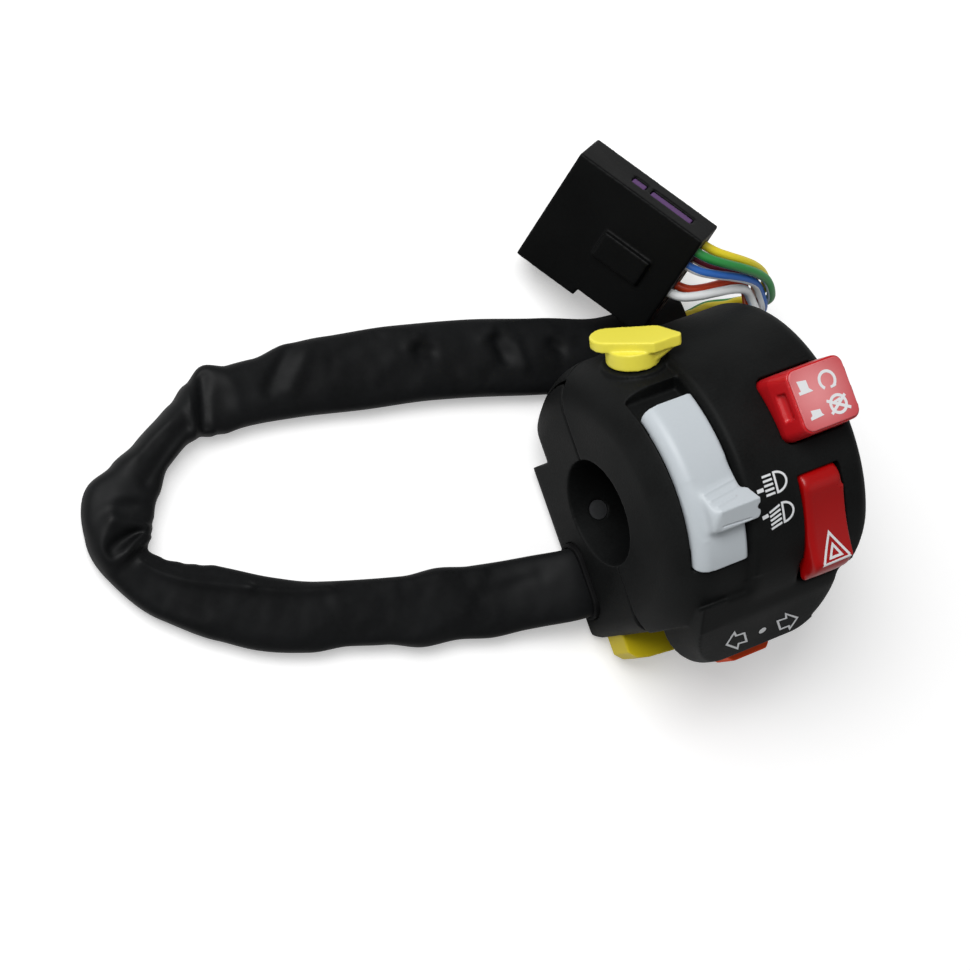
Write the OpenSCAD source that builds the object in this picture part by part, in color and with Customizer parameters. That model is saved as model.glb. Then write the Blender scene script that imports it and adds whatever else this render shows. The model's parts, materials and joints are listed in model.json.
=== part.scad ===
// Handlebar switch cluster for a quad bike, left hand, clamped on a 22 mm bar.
// X runs along the bar, from the grip side (left) to the inner side.
// Y points to the choke lever, Z to the rider's thumb and the controls.
// The origin is the middle of the bar bore. The flat back of the rear shell lies
// at -Z, and the harness leaves the left end and loops round to its connector.

/* [Clamp and housing] */
// Diameter of the handlebar
bar_d = 22.2; // [22:0.1:22.4]
// Length of the housing along the bar
body_len = 47.5; // [47:0.25:49]
// Gap between the two shells at the bar's centre plane
seam_gap = 0.3; // [0.2:0.1:0.5]
// Outer radius of the drum that carries the slider
drum_r = 29.5; // [29:0.25:30.5]
// How far the button block stands above the drum
block_rise = 1.5; // [1:0.25:2]
// Where the button block begins, from the left end
block_x = 15.8; // [15.6:0.1:16.2]
// Rounding of both ends of the drum
end_round = 9; // [8:0.5:9.5]
// Wall of the shells
wall = 2.5; // [2.2:0.1:2.7]
// Wall of the half tubes that grip the bar
saddle_wall = 2.5; // [2:0.1:2.7]
// Bar axis to the flat back
back_depth = 24; // [24:0.25:26]
// Bar axis to the back beside the harness chamber
upper_back_depth = 17; // [16:0.25:18]
// Height of the harness chamber above the bar axis
chamber_top = 12; // [11:0.5:13]
// Bar axis to the underside
under_y = 26; // [26:0.25:27]

/* [Foot with the arrows] */
// Left end of the foot, from the left end face
foot_left = 5; // [4:0.5:6]
// Right end of the foot, from the left end face
foot_right = 38.5; // [37:0.5:39.5]
// Bar axis to the bottom of the foot
foot_low = 36; // [36:0.25:37]
// Height of the slanted arrow face above the seam
foot_face_h = 14.5; // [13:0.5:16]
// Depth of the foot behind the seam
foot_depth = 16; // [15.5:0.25:17]

/* [Headlight slider] */
// Width of the slider along the bar
slider_w = 11.4; // [11:0.1:11.6]
// Angle from the front to the slider's upper end
slider_top_deg = 34.6; // [32:0.2:35]
// Angle from the front to the slider's lower end
slider_low_deg = 33.6; // [32:0.2:34]
// Angle between low beam and high beam
slider_travel_deg = 10; // [8:0.5:10]
// Outer radius of the thumb band
slider_r = 30.3; // [30:0.1:30.6]
// Radius at the ridge of the thumb lug
lug_r = 33.8; // [33:0.2:34.6]

/* [Engine kill button] */
// Length of the button along the bar
kill_w = 14.4; // [14:0.1:14.8]
// Height of the button across the bar
kill_h = 13.6; // [13:0.1:13.8]
// How far the button stands out of the block
kill_out = 6.2; // [5.5:0.1:7]
// Push travel
kill_travel = 2.5; // [2:0.1:2.7]
// Tilt of the push axis towards the choke lever
kill_tilt = 3; // [1:0.5:6]

/* [Hazard rocker] */
// Width of the rocker along the bar
rocker_w = 9.4; // [9:0.1:9.6]
// Half length of the rocker
rocker_half = 10.1; // [9.8:0.1:10.3]
// Angle round the bar at which the rocker sits, below the front
rocker_phi = 33; // [32.5:0.25:33.5]
// Tilt of the rocker from its middle to either stop
rocker_tilt = 12; // [10:0.5:12.5]
// Diameter of the rocker's pin
rocker_pin_d = 2; // [1.8:0.1:2.2]

/* [Turn signal slider] */
// Width of the knob along the bar
turn_w = 11; // [10:0.5:12]
// Travel to each side
turn_travel = 3.5; // [3:0.25:3.5]

/* [Horn button] */
// Width of the horn button along the bar
horn_w = 13; // [12:0.25:13.2]
// Push travel
horn_travel = 2.5; // [2:0.1:2.6]

/* [Choke lever] */
// Angle round the bar at which the lever's spindle stands
choke_phi = 62; // [61:0.5:63]
// Length of the lever from its round end to its tip
choke_len = 18; // [17:0.5:18.5]
// Radius of the lever's hub
choke_hub_r = 5.4; // [5.2:0.1:5.8]
// Angle of the lever on its spindle at rest
choke_rest_deg = -39; // [-45:1:-30]

/* [Harness and connector] */
// Width of the flattened sleeve
sleeve_w = 14.6; // [13:0.2:15]
// Thickness of the flattened sleeve
sleeve_t = 6.2; // [5.4:0.2:6.4]
// Diameter of one wire
wire_d = 1.9; // [1.6:0.1:2.1]
// Width of the connector
conn_w = 26.6; // [26:0.2:27]
// Length of the connector
conn_len = 30.2; // [29.5:0.1:30.5]
// Thickness of the connector
conn_t = 10.8; // [10:0.2:11]

/* [Hidden] */
$fn = 64;

left_end = -body_len / 2;
bore_r = bar_d / 2;
saddle_r = bore_r + saddle_wall;
block_r = drum_r + block_rise;
half_seam = seam_gap / 2;
over = 1;
reach = 120;
gap = 0.3;
fit = 0.05;
edge = 1.2;

// Rounding of the rear shell's left end, and the curved inner side of the housing
back_round = 4;
side_r = 90;
side_y = 8;
shoulder_x = 3;
shoulder_round = 3.5;

// Slider slot and what moves in it
slot_left = 3.5;
slider_t = 3.7;
slot_side_gap = 0.3;
slot_end_deg = 0.7;
slider_in_r = slider_r - slider_t;
slot_floor_r = slider_in_r - gap;
slot_w = slider_w + 2 * slot_side_gap;
slot_top_deg = slider_top_deg + slider_travel_deg + slot_end_deg;
slot_low_deg = slider_low_deg + slot_end_deg;
slider_x = slot_left + slot_side_gap;
slider_mid = slider_x + slider_w / 2;
slider_edge = 2.6;
lug_wide = 2.1;
lug_start = 0.6;
lug_knee_x = 4;
lug_knee_drop = 0.7;
lug_top_y = 1;
lug_swell_y = -0.5;
lug_ridge_y = -6;
lug_low_y = -9.7;
lug_nose_drop = 2.3;
lug_hollow = 14;
lug_notch_y = -7.6;
lug_notch_r = 0.6;
tongue_w = 4;
tongue_deg = 4;
tongue_gap_deg = 1;
carriage_w = 10;
carriage_deg = 13;
ball_deg = 8;
mech_room_deg = 36;
contact_t = 0.5;
wiper_t = 0.6;

// From the bar saddle out to the slot: contact base, wiper, carriage, slot floor
floor_share = 0.2205;
base_share = 0.189;
mech_deep = slot_floor_r - saddle_r;
slot_floor_t = mech_deep * floor_share;
floor_in_r = slot_floor_r - slot_floor_t;
carriage_out_r = floor_in_r - gap;
contact_base_in_r = saddle_r + gap;
contact_base_out_r = contact_base_in_r + mech_deep * base_share;
carriage_in_r = contact_base_out_r + contact_t + gap + wiper_t;
carriage_t = carriage_out_r - carriage_in_r;
ball_share = 0.22;
carriage_floor_share = 0.185;
ball_r = carriage_t * ball_share;
carriage_floor = carriage_t * carriage_floor_share;

// Kill button well and switch, in the button's own axes
kill_from_right = 12.4;
kill_x = body_len - kill_from_right;
kill_y = 8.2;
kill_z = block_r;
kill_skirt = 6;
kill_narrow_x = 1.1;
kill_narrow_y = 0.6;
kill_shift = 0.4;
kill_round = 2;
kill_gap = 0.3;
kill_nail_r = 1.6;
well_wall = 1.2;
well_depth = 10;
kill_label_t = 0.4;
kill_label_inset = 0.35;
plunger_r = 1.8;
plunger_len = 6.4;
kill_body_h = 5.4;
kill_body_w = 13;
kill_body_d = 11;
kill_flange_t = 1;
kill_flange_over = 1;
kill_spring_r = 2.6;
kill_spring_turns = 2.5;

// Hazard rocker, in axes that point out of the block at its middle
rocker_from_right = 19.2;
rocker_x = body_len - rocker_from_right;
rocker_pivot_r = 23.5;
rocker_over_pivot = 8.85;
rocker_dip = 0.9;
rocker_under = 3;
rocker_top_r = rocker_pivot_r + rocker_over_pivot;
rocker_under_r = rocker_pivot_r + rocker_under;
rocker_hub_r = 3.5;
rocker_hub_w = 7.5;
rocker_bevel = 1.7;
rocker_bevel_drop = 0.9;
rocker_end_gap = 0.3;
rocker_side_gap = 0.3;
rocker_round = 1.4;
rocker_end_r = norm([rocker_half, rocker_top_r - rocker_bevel_drop - rocker_pivot_r]);
base_wall = 1.4;
base_half = 9;
base_under_pivot = 7.5;
base_over_pivot = 4.7;
base_floor_r = rocker_pivot_r - base_under_pivot;
base_floor_t = 1.8;
base_top_r = rocker_pivot_r + base_over_pivot;
base_w = rocker_w + 2 * rocker_side_gap + 2 * base_wall;
bridge_w = 3.5;

// Screws that hold the shells together
screw_x = 21.5;
screw_top_y = 20.5;
screw_low_y = -19.5;
screw_r = 2;
head_r = 3.5;
head_h = 2.6;
head_seat = 13;
thread_in = 9;
insert_r = 3;
insert_len = 8;
boss_r = 3.8;
rear_boss_r = 4.6;
boss_h = 19;
recess_r = 1.2;
recess_deep = 1.4;

// Set screw that bites the bar from the back
lock_x = 6;
lock_r = 2;
lock_len = 6;
lock_boss_r = 4;
lock_short = 0.2;

// Horn button
horn_x = 3;
horn_above_back = 3.4;
horn_z = horn_above_back - back_depth;
horn_d = 7;
horn_low = 32.8;
horn_gap = 0.3;
horn_flange_over = 1;
horn_flange_t = 1;
horn_base_t = 2;
horn_base_y = -15;
horn_contact_w = 7;
horn_contact_d = 4.6;
horn_spring_r = 2;
horn_spring_turns = 3;

// Turn signal slider
turn_x = 24;
turn_z = -8.2;
turn_d = 7.4;
turn_out = 1.9;
turn_stem_w = 4;
turn_stem_d = 3;
turn_car_w = 4.4;
turn_car_d = 7;
turn_car_t = 3;
turn_contact_w = 3;
turn_room_d = 13;
turn_base_t = 2;
foot_thin = 1.2;
foot_step_x = 16.6;
foot_blend_h = 19.4;
foot_left_r = 9;
foot_right_r = 8;
turn_room_w = foot_right - foot_step_x - 2 * foot_thin - wall;
turn_base_w = turn_room_w - 2 * gap;

// Choke lever
choke_x = 11.2;
choke_boss_r = 6.5;
choke_boss_top = 29.7;
choke_hub_h = 3.6;
choke_plate_t = 2;
choke_half_w = 4.2;
choke_tail_share = 0.46;
choke_end_r = 3.6;
choke_web_r = 4.6;
spindle_r = 2.5;
pocket_r = 6.3;
pocket_low = 15.6;
pocket_top = 24.5;
arm_r = 5.6;
arm_t = 4;
arm_head_r = 3;
arm_head_h = 2;
cable_groove = 0.9;

// Harness port
port_y = -12.8;
port_above_back = 7;
port_z = port_above_back - back_depth;
grommet_wall = 0.9;
grommet_out = 0.9;
grommet_lip = 1;

// Centre line of the sleeve, from inside the port round to its open end
sleeve_route = [
  [-21, -12.8, -17], [-26, -12.8, -17], [-33, -11.6, -18.8], [-43, -9.8, -20.6],
  [-63, -5.5, -20.8], [-84, 0.7, -20.8], [-97, 7.6, -20.8], [-106.5, 14, -20.8],
  [-112, 21, -20.8], [-113, 27.5, -20.8], [-110, 33.5, -20.8], [-100.5, 40.5, -20.8],
  [-92, 44.7, -20.8], [-84, 46.2, -20.8], [-75, 45.8, -20.8], [-60, 43.3, -20.8],
  [-45, 40.4, -20.8], [-30, 36.8, -20.8], [-15, 32.6, -20.8], [-2, 29.4, -20.8],
  [9, 28.5, -20.8], [20, 28.5, -20.8]];

// Centre line of the bundle of wires, from the sleeve's end until the wires part
bundle_route = [
  [20, 28.5, -20.8], [21.5, 28.5, -20.8], [23, 28.5, -20.8], [26.1, 28.9, -19.6],
  [29.3, 28, -17.1], [31.2, 27.6, -14.2], [31.1, 26.9, -10.5], [30.4, 28.6, -6], [29.5, 31.2, -3.1]];
bundle_pitch = 2.35;
bundle_arm = 7.2;
cavity_arm = 5.4;
part_steps = 6;

// Connector, in axes where z runs from the mating face to the wires
conn_at = [-3.6, 62.6, -10.4];
conn_turn = [60, -47, 52];
conn_step_z = 14.4;
conn_step_w = 1.6;
cavity_r = 1.25;
cavity_pitch = 3.6;
cavity_mid = 2.2;
cavity_row = 2.4;
cavity_cols = 5;
cavity_in = 2.6;
lock_room = 1.6;
lock_low = 11;
lock_high = 25.8;
lock_bar_low = 14.4;
lock_bar_high = 15.6;
lock_half = 1.1;
latch_w = 6;
latch_out = 1.1;
latch_low = 13;
latch_high = 24;
terminal_r = 1.15;

module from_left() translate([left_end, 0, 0]) children();

// A profile of radius and distance from the left end, turned about the bar
module bar_turn() from_left() rotate([0, 90, 0]) rotate_extrude() children();

// The same, only between two angles measured from the front towards +Y
module bar_arc(low, high) from_left() rotate([0, 90, 0]) rotate([0, 0, 180 - high])
  rotate_extrude(angle = high - low) children();

// Axes that stand on the bar axis and point out at an angle from the front
module at_phi(x, phi) from_left() translate([x, 0, 0]) rotate([-phi, 0, 0]) children();

// An outline of Y and Z, drawn along the bar from x0 to x1
module along(x0, x1) from_left() translate([x0, 0, 0]) rotate([90, 0, 90])
  linear_extrude(x1 - x0) children();

// A solid bar profile with a rounding at each end
module rounded_profile(r, x0, x1, f0, f1) {
  mid = (x0 + x1) / 2;
  translate([0, x0]) square([r - f0, mid - x0]);
  translate([0, mid]) square([r - f1, x1 - mid]);
  translate([0, x0 + f0]) square([r, x1 - x0 - f0 - f1]);
  if (f0 > 0) translate([r - f0, x0 + f0]) circle(f0);
  if (f1 > 0) translate([r - f1, x1 - f1]) circle(f1);
}

module rounded_plate(w, d, r) {
  square([w - 2 * r, d], center = true);
  square([w, d - 2 * r], center = true);
  for (sx = [-1, 1], sy = [-1, 1])
    translate([sx * (w / 2 - r), sy * (d / 2 - r)]) circle(r);
}

// Drum and button block, both round the bar
module barrel_form() {
  bar_turn() rounded_profile(drum_r, 0, block_x + over, end_round, 0);
  bar_turn() rounded_profile(block_r, block_x, body_len - shoulder_x, block_rise, shoulder_round);
  bar_turn() rounded_profile(drum_r, block_x, body_len, 0, end_round);
}

// Plan of the foot, seen from the front
module foot_plan() {
  translate([foot_left + foot_left_r, foot_left_r - foot_low]) circle(foot_left_r);
  translate([foot_right - foot_right_r, foot_right_r - foot_low]) circle(foot_right_r);
  translate([foot_left + foot_left_r, -foot_low])
    square([foot_right - foot_left - foot_left_r - foot_right_r, foot_low - under_y + foot_left_r]);
  translate([foot_left, foot_left_r - foot_low])
    square([foot_right - foot_left, foot_low - under_y]);
}

module foot_block(z0, z1, x0) intersection() {
  from_left() translate([0, 0, z0]) linear_extrude(z1 - z0) intersection() {
    foot_plan();
    translate([x0, -foot_low - over]) square([reach, foot_low]);
  }
  inner_side(0);
}

// The slanted face that carries the arrows, and the slope that leads up to the block
module foot_front() intersection() {
  foot_block(half_seam, foot_blend_h, 0);
  along(0, body_len) polygon([
    [-under_y + wall, 0], [-foot_low, 0], [-foot_low, foot_face_h / 4],
    [-under_y - wall, foot_face_h], [-under_y + wall, foot_blend_h]]);
}

module chamber_outline() {
  low_r = 5;
  top_r = 2;
  translate([-under_y + low_r, -back_depth])
    square([chamber_top + under_y - low_r - top_r, back_depth]);
  translate([-under_y, -back_depth + low_r]) square([under_y, back_depth - low_r]);
  translate([-under_y + low_r, -back_depth + low_r]) circle(low_r);
  translate([0, -back_depth + top_r]) square([chamber_top, back_depth - top_r]);
  translate([chamber_top - top_r, -back_depth + top_r]) circle(top_r);
}

// Half tube that grips the bar over the whole length
module saddle() bar_turn() translate([bore_r, 0]) square([saddle_wall, body_len]);

module bar_room() from_left() translate([-over, 0, 0]) rotate([0, 90, 0])
  cylinder(r = bore_r, h = body_len + 2 * over);

module front_half() from_left() translate([-over, -reach / 2, half_seam])
  cube([body_len + 2 * over, reach, reach]);

module rear_half() from_left() translate([-over, -reach / 2, -reach - half_seam])
  cube([body_len + 2 * over, reach, reach]);

// The inner side of the housing swings back towards the underside
module inner_side(inset) from_left() translate([body_len - side_r, side_y, -reach / 2])
  cylinder(r = side_r - inset, h = reach, $fn = 360);

// The left end of the rear shell is rounded towards the back and the underside
module rear_left() from_left() intersection() {
  translate([0, reach / 2, 0]) rotate([90, 0, 0]) linear_extrude(reach) {
    translate([back_round, -back_depth]) square([reach, back_depth]);
    translate([0, -back_depth + back_round]) square([reach, back_depth]);
    translate([back_round, -back_depth + back_round]) circle(back_round);
  }
  translate([0, 0, -reach / 2]) linear_extrude(reach) {
    translate([back_round, -under_y]) square([reach, reach]);
    translate([0, -under_y + back_round]) square([reach, reach]);
    translate([back_round, -under_y + back_round]) circle(back_round);
  }
}

module above_underside() from_left() translate([-over, -under_y, -reach / 2])
  cube([body_len + 2 * over, reach, reach]);

// Button axes: z points out of the block, x along the bar
module at_kill() from_left() translate([kill_x, kill_y, kill_z])
  rotate([-kill_tilt, 0, 0]) children();

module at_rocker() at_phi(rocker_x + rocker_w / 2, -rocker_phi) children();

module at_choke() at_phi(choke_x, choke_phi) children();

module kill_room(grow, z0, z1) at_kill() translate([0, 0, z0])
  linear_extrude(z1 - z0) rounded_plate(kill_w + 2 * grow, kill_h + 2 * grow, kill_round);

module front_shell() color("#232427") difference() {
  union() {
    difference() {
      union() {
        intersection() {
          barrel_form();
          front_half();
          above_underside();
          inner_side(0);
        }
        foot_front();
        intersection() {
          at_choke() cylinder(r = choke_boss_r, h = choke_boss_top);
          front_half();
        }
      }
      // Room for the switches under the button block
      intersection() {
        bar_turn() translate([0, block_x + wall + over / 4])
          square([block_r - wall, body_len - block_x - 2 * wall - over / 2]);
        above_room();
      }
      // Room for the headlight switch under the slot's floor
      bar_arc(-mech_room_deg, mech_room_deg) translate([0, slot_left - over / 2])
        square([floor_in_r, block_x - slot_left + over / 2]);
      at_choke() translate([0, 0, pocket_low]) cylinder(r = pocket_r, h = pocket_top - pocket_low);
    }
    intersection() {
      saddle();
      front_half();
    }
    for (y = [screw_top_y, screw_low_y]) from_left() translate([screw_x, y, half_seam])
      cylinder(r = boss_r, h = boss_h);
    intersection() {
      kill_room(kill_gap + well_wall, -well_depth, 0);
      bar_turn() square([block_r - wall / 2, body_len - wall]);
    }
  }
  bar_room();
  // Slot of the headlight slider, with the window for its tongue
  bar_arc(-slot_low_deg, slot_top_deg) translate([slot_floor_r, slot_left])
    square([reach, slot_w]);
  bar_arc(-tongue_deg - tongue_gap_deg, tongue_deg + slider_travel_deg + tongue_gap_deg)
    translate([floor_in_r - over, slider_mid - tongue_w / 2 - gap])
    square([slot_floor_t + 2 * over, tongue_w + 2 * gap]);
  kill_room(kill_gap, -well_depth - over, kill_out);
  rocker_window();
  hazard_base_form(gap / 2);
  at_choke() cylinder(r = spindle_r + fit, h = reach);
  at_choke() translate([0, 0, choke_boss_top]) cylinder(r = choke_boss_r, h = choke_hub_r);
  for (y = [screw_top_y, screw_low_y]) from_left() translate([screw_x, y, 0])
    cylinder(r = insert_r, h = thread_in + over);
}

// The rocker's ends swing on a circle, and its window follows them
module rocker_window() at_rocker() intersection() {
  window_w = rocker_w + 2 * rocker_side_gap;
  translate([-window_w / 2, 0, rocker_pivot_r]) rotate([0, 90, 0])
    cylinder(r = rocker_end_r + rocker_end_gap, h = window_w, $fn = 128);
  translate([-window_w, -reach / 2, rocker_pivot_r - over]) cube([2 * window_w, reach, reach]);
}

// The switch room stays inside the underside wall and the curved side
module above_room() intersection() {
  from_left() translate([0, -under_y + wall, -reach / 2]) cube([body_len, reach, reach]);
  inner_side(wall);
}

module rear_form() {
  intersection() {
    barrel_form();
    rear_half();
    above_underside();
    inner_side(0);
    rear_left();
    from_left() translate([-over, chamber_top - over, -upper_back_depth])
      cube([body_len + 2 * over, reach, reach]);
    translate([0, 0, back_depth - upper_back_depth]) rear_left();
  }
  intersection() {
    along(0, body_len - gap) chamber_outline();
    rear_half();
    inner_side(0);
    rear_left();
  }
  foot_block(-foot_depth, -half_seam, foot_step_x);
}

module rear_room() {
  intersection() {
    bar_turn() translate([0, wall]) square([drum_r - wall, body_len - 2 * wall]);
    from_left() translate([0, chamber_top - wall - over, -upper_back_depth + wall])
      cube([body_len, reach, upper_back_depth - wall + over]);
    inner_side(wall);
  }
  intersection() {
    along(wall, body_len - gap - wall)
      translate([-under_y + wall, -back_depth + wall])
      square([under_y + chamber_top - 2 * wall, back_depth - wall + over]);
    inner_side(wall);
  }
  from_left() translate([foot_step_x + foot_thin, -foot_low + wall, -turn_room_d])
    cube([turn_room_w, foot_low - under_y + wall / 2, turn_room_d - foot_thin]);
}

module turn_slot_cut() from_left()
  translate([turn_x - turn_stem_w / 2 - turn_travel - gap, -foot_low - over,
    turn_z - turn_stem_d / 2 - gap / 2])
  cube([turn_stem_w + 2 * turn_travel + 2 * gap, wall + 2 * over, turn_stem_d + gap]);

module port_plan(grow) translate([port_y, port_z])
  rounded_plate(sleeve_w + 2 * grow, sleeve_t + 2 * grow, sleeve_t / 2 + grow - fit);

module rear_shell() color("#202124") difference() {
  union() {
    difference() {
      rear_form();
      rear_room();
    }
    intersection() {
      saddle();
      rear_half();
    }
    intersection() {
      union() {
        for (y = [screw_top_y, screw_low_y])
          from_left() translate([screw_x, y, -back_depth])
            cylinder(r = rear_boss_r, h = back_depth - half_seam);
        from_left() translate([lock_x, 0, -back_depth])
          cylinder(r = lock_boss_r, h = back_depth - bore_r);
      }
      rear_form();
    }
  }
  bar_room();
  for (y = [screw_top_y, screw_low_y]) from_left() translate([screw_x, y, -reach]) {
    cylinder(r = screw_r + gap, h = reach);
    cylinder(r = head_r + gap, h = reach - head_seat);
  }
  from_left() translate([lock_x, 0, -back_depth - over])
    cylinder(r = lock_r + fit, h = back_depth);
  turn_slot_cut();
  from_left() translate([horn_x - horn_gap, -under_y - over, horn_z - horn_gap])
    cube([horn_w + 2 * horn_gap, wall + 2 * over, horn_d + 2 * horn_gap]);
  along(-over, wall + over) port_plan(grommet_wall);
  horn_room();
}

module housing_screws() color("#b9bcc0")
  for (y = [screw_top_y, screw_low_y]) from_left() translate([screw_x, y, -head_seat])
    difference() {
      union() {
        translate([0, 0, -head_h]) cylinder(r = head_r, h = head_h);
        cylinder(r = screw_r, h = head_seat + thread_in);
      }
      translate([0, 0, -head_h - over]) cylinder(r = recess_r, h = recess_deep + over, $fn = 6);
    }

module screw_inserts() color("#c9a24a")
  for (y = [screw_top_y, screw_low_y]) from_left() translate([screw_x, y, half_seam + gap])
    difference() {
      cylinder(r = insert_r - fit, h = insert_len);
      translate([0, 0, -over]) cylinder(r = screw_r + fit, h = insert_len + 2 * over);
    }

module bar_lock_screw() color("#c4c7cb") from_left()
  translate([lock_x, 0, -bore_r - lock_short - lock_len]) difference() {
    cylinder(r = lock_r, h = lock_len);
    translate([0, 0, -over]) cylinder(r = lock_r / 2, h = recess_deep + over, $fn = 6);
  }

// Thumb band with its lug: a ramp that rises to the right and drops off in a nose
module headlight_slider() color("#e9eef6") {
  bar_arc(-slider_low_deg, slider_top_deg)
    translate([0, slider_x]) intersection() {
      rounded_profile(slider_r, 0, slider_w, slider_edge, edge);
      translate([slider_in_r, 0]) square([reach, slider_w]);
    }
  lug_form();
  bar_arc(-tongue_deg, tongue_deg)
    translate([carriage_in_r + carriage_floor, slider_mid - tongue_w / 2])
    square([slider_in_r + over - carriage_in_r - carriage_floor, tongue_w]);
}

// The lug is its side view, cut to its front view and its plan
module lug_form() difference() {
  intersection() {
    union() {
      along(slider_x + slider_edge, slider_x + slider_w) lug_side();
      intersection() {
        along(slider_x + slider_edge, slider_x + slider_w + lug_wide) lug_side();
        bar_turn() translate([block_r + gap, 0]) square([reach, body_len]);
      }
    }
    from_left() translate([slider_x, reach / 2, 0]) rotate([90, 0, 0]) linear_extrude(reach)
      polygon([
        [0, 0], [lug_start, slider_r - gap], [lug_knee_x, lug_r - lug_knee_drop],
        [slider_w + lug_wide, lug_r], [slider_w + lug_wide, 0]]);
    from_left() translate([slider_x, 0, 0]) linear_extrude(reach) lug_plan();
  }
  from_left() translate([slider_x + slider_w + lug_wide, lug_notch_y, 0])
    cylinder(r = lug_notch_r, h = reach);
}

module lug_plan() polygon([
  [0, lug_top_y], [slider_w, lug_top_y], [slider_w, lug_swell_y],
  [slider_w + lug_wide / 2, (lug_swell_y + lug_ridge_y) / 2],
  [slider_w + lug_wide, lug_ridge_y], [slider_w + lug_wide, lug_low_y + lug_notch_r],
  [slider_w + lug_wide - lug_notch_r, lug_low_y], [0, lug_low_y]]);

// Side view of the lug
module lug_side() difference() {
  ridge_z = sqrt(lug_r * lug_r - lug_ridge_y * lug_ridge_y);
  foot_z = slider_r - gap;
  polygon([
    [lug_top_y, slider_in_r + over], [lug_top_y, foot_z], [lug_ridge_y, ridge_z],
    [lug_low_y, ridge_z - lug_nose_drop], [lug_low_y, slider_in_r]]);
  rise = ridge_z - foot_z;
  run = lug_top_y - lug_ridge_y;
  chord = norm([rise, run]);
  translate([(lug_top_y + lug_ridge_y) / 2, (foot_z + ridge_z) / 2]
    + [rise, run] / chord * sqrt(lug_hollow * lug_hollow - chord * chord / 4))
    circle(lug_hollow, $fn = 180);
}

module slider_carriage() color("#3a3c40") difference() {
  bar_arc(-carriage_deg, carriage_deg)
    translate([carriage_in_r, slider_mid - carriage_w / 2])
    square([carriage_out_r - carriage_in_r, carriage_w]);
  bar_arc(-tongue_deg - tongue_gap_deg, tongue_deg + tongue_gap_deg)
    translate([carriage_in_r + carriage_floor, slider_mid - tongue_w / 2 - fit])
    square([carriage_out_r, tongue_w + 2 * fit]);
  at_phi(slider_mid, ball_deg) translate([0, 0, carriage_in_r + carriage_floor])
    cylinder(r = ball_r + fit, h = carriage_out_r);
}

module slider_wiper() color("#cfa75a")
  bar_arc(-carriage_deg / 2, carriage_deg / 2)
    translate([carriage_in_r - wiper_t, slider_mid - carriage_w / 3])
    square([wiper_t, carriage_w * 2 / 3]);

module slider_detent_ball() color("#d2d5d9") at_phi(slider_mid, ball_deg)
  translate([0, 0, floor_in_r - ball_r - fit]) sphere(ball_r);

module slider_detent_spring() color("#9fa3a8") at_phi(slider_mid, ball_deg)
  translate([0, 0, carriage_in_r + carriage_floor]) difference() {
    cylinder(r = ball_r - fit, h = floor_in_r - 2 * ball_r - fit - carriage_in_r - carriage_floor);
    translate([0, 0, -over]) cylinder(r = ball_r / 2, h = floor_in_r);
  }

module headlight_contact_base() color("#5a4632")
  bar_arc(-mech_room_deg + carriage_deg / 2, mech_room_deg - carriage_deg / 2)
    translate([contact_base_in_r, slot_left])
    square([contact_base_out_r - contact_base_in_r, slot_w - gap]);

module headlight_contacts() color("#cfa75a")
  for (low = [-carriage_deg - carriage_deg / 2, -carriage_deg / 4, carriage_deg])
    bar_arc(low, low + carriage_deg * 2 / 3)
      translate([contact_base_out_r, slider_mid - carriage_w / 4])
      square([contact_t, carriage_w / 2]);

// Sloped flanks above the skirt, with a hollow for the nail on the left
module kill_button() color("#d2222c") at_kill() difference() {
  union() {
    translate([0, 0, -kill_skirt]) linear_extrude(kill_skirt)
      rounded_plate(kill_w, kill_h, kill_round);
    hull() {
      linear_extrude(gap) rounded_plate(kill_w, kill_h, kill_round, $fn = 32);
      translate([kill_shift, 0, kill_out - gap]) linear_extrude(gap)
        rounded_plate(kill_w - kill_narrow_x, kill_h - kill_narrow_y, kill_round, $fn = 32);
    }
  }
  translate([-kill_w / 2, kill_h / 5, kill_out / 2]) rotate([90, 0, 0])
    cylinder(r = kill_nail_r, h = kill_h * 2 / 5);
}

module kill_label() color("#e9a3a5") at_kill()
  translate([kill_shift, 0, kill_out]) linear_extrude(kill_label_t)
  rounded_plate(kill_w - kill_narrow_x - 2 * kill_label_inset,
    kill_h - kill_narrow_y - 2 * kill_label_inset, kill_round - kill_label_inset);

module kill_plunger() color("#e6e4dc") at_kill()
  translate([0, 0, -kill_skirt - plunger_len]) cylinder(r = plunger_r, h = plunger_len);

module kill_spring() color("#a9adb2") at_kill()
  translate([0, 0, -well_depth - fit])
  coil(kill_spring_turns, kill_spring_r, well_depth - kill_skirt);

module kill_switch_body() color("#2b2d31") at_kill() difference() {
  union() {
    translate([0, 0, -well_depth - gap - kill_flange_t])
      linear_extrude(kill_flange_t)
      rounded_plate(kill_w + 2 * kill_flange_over, kill_h + 2 * kill_flange_over, kill_round);
    translate([0, 0, -well_depth - gap - kill_body_h])
      linear_extrude(kill_body_h) rounded_plate(kill_body_w, kill_body_d, edge / 2);
  }
  translate([0, 0, -reach / 2]) cylinder(r = plunger_r + fit, h = reach);
}

// A round-wire spring from z = 0 up, its ends laid flat
module coil(turns, r, h) {
  wire = 0.4;
  steps = 8;
  sides = 6;
  rings = turns * steps;
  tube([for (i = [0:rings]) let (a = 360 * i / steps)
    [r * cos(a), r * sin(a), wire / 2 + (h - wire) * i / rings]], wire, wire, sides, [0, 0, 1]);
}

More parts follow.
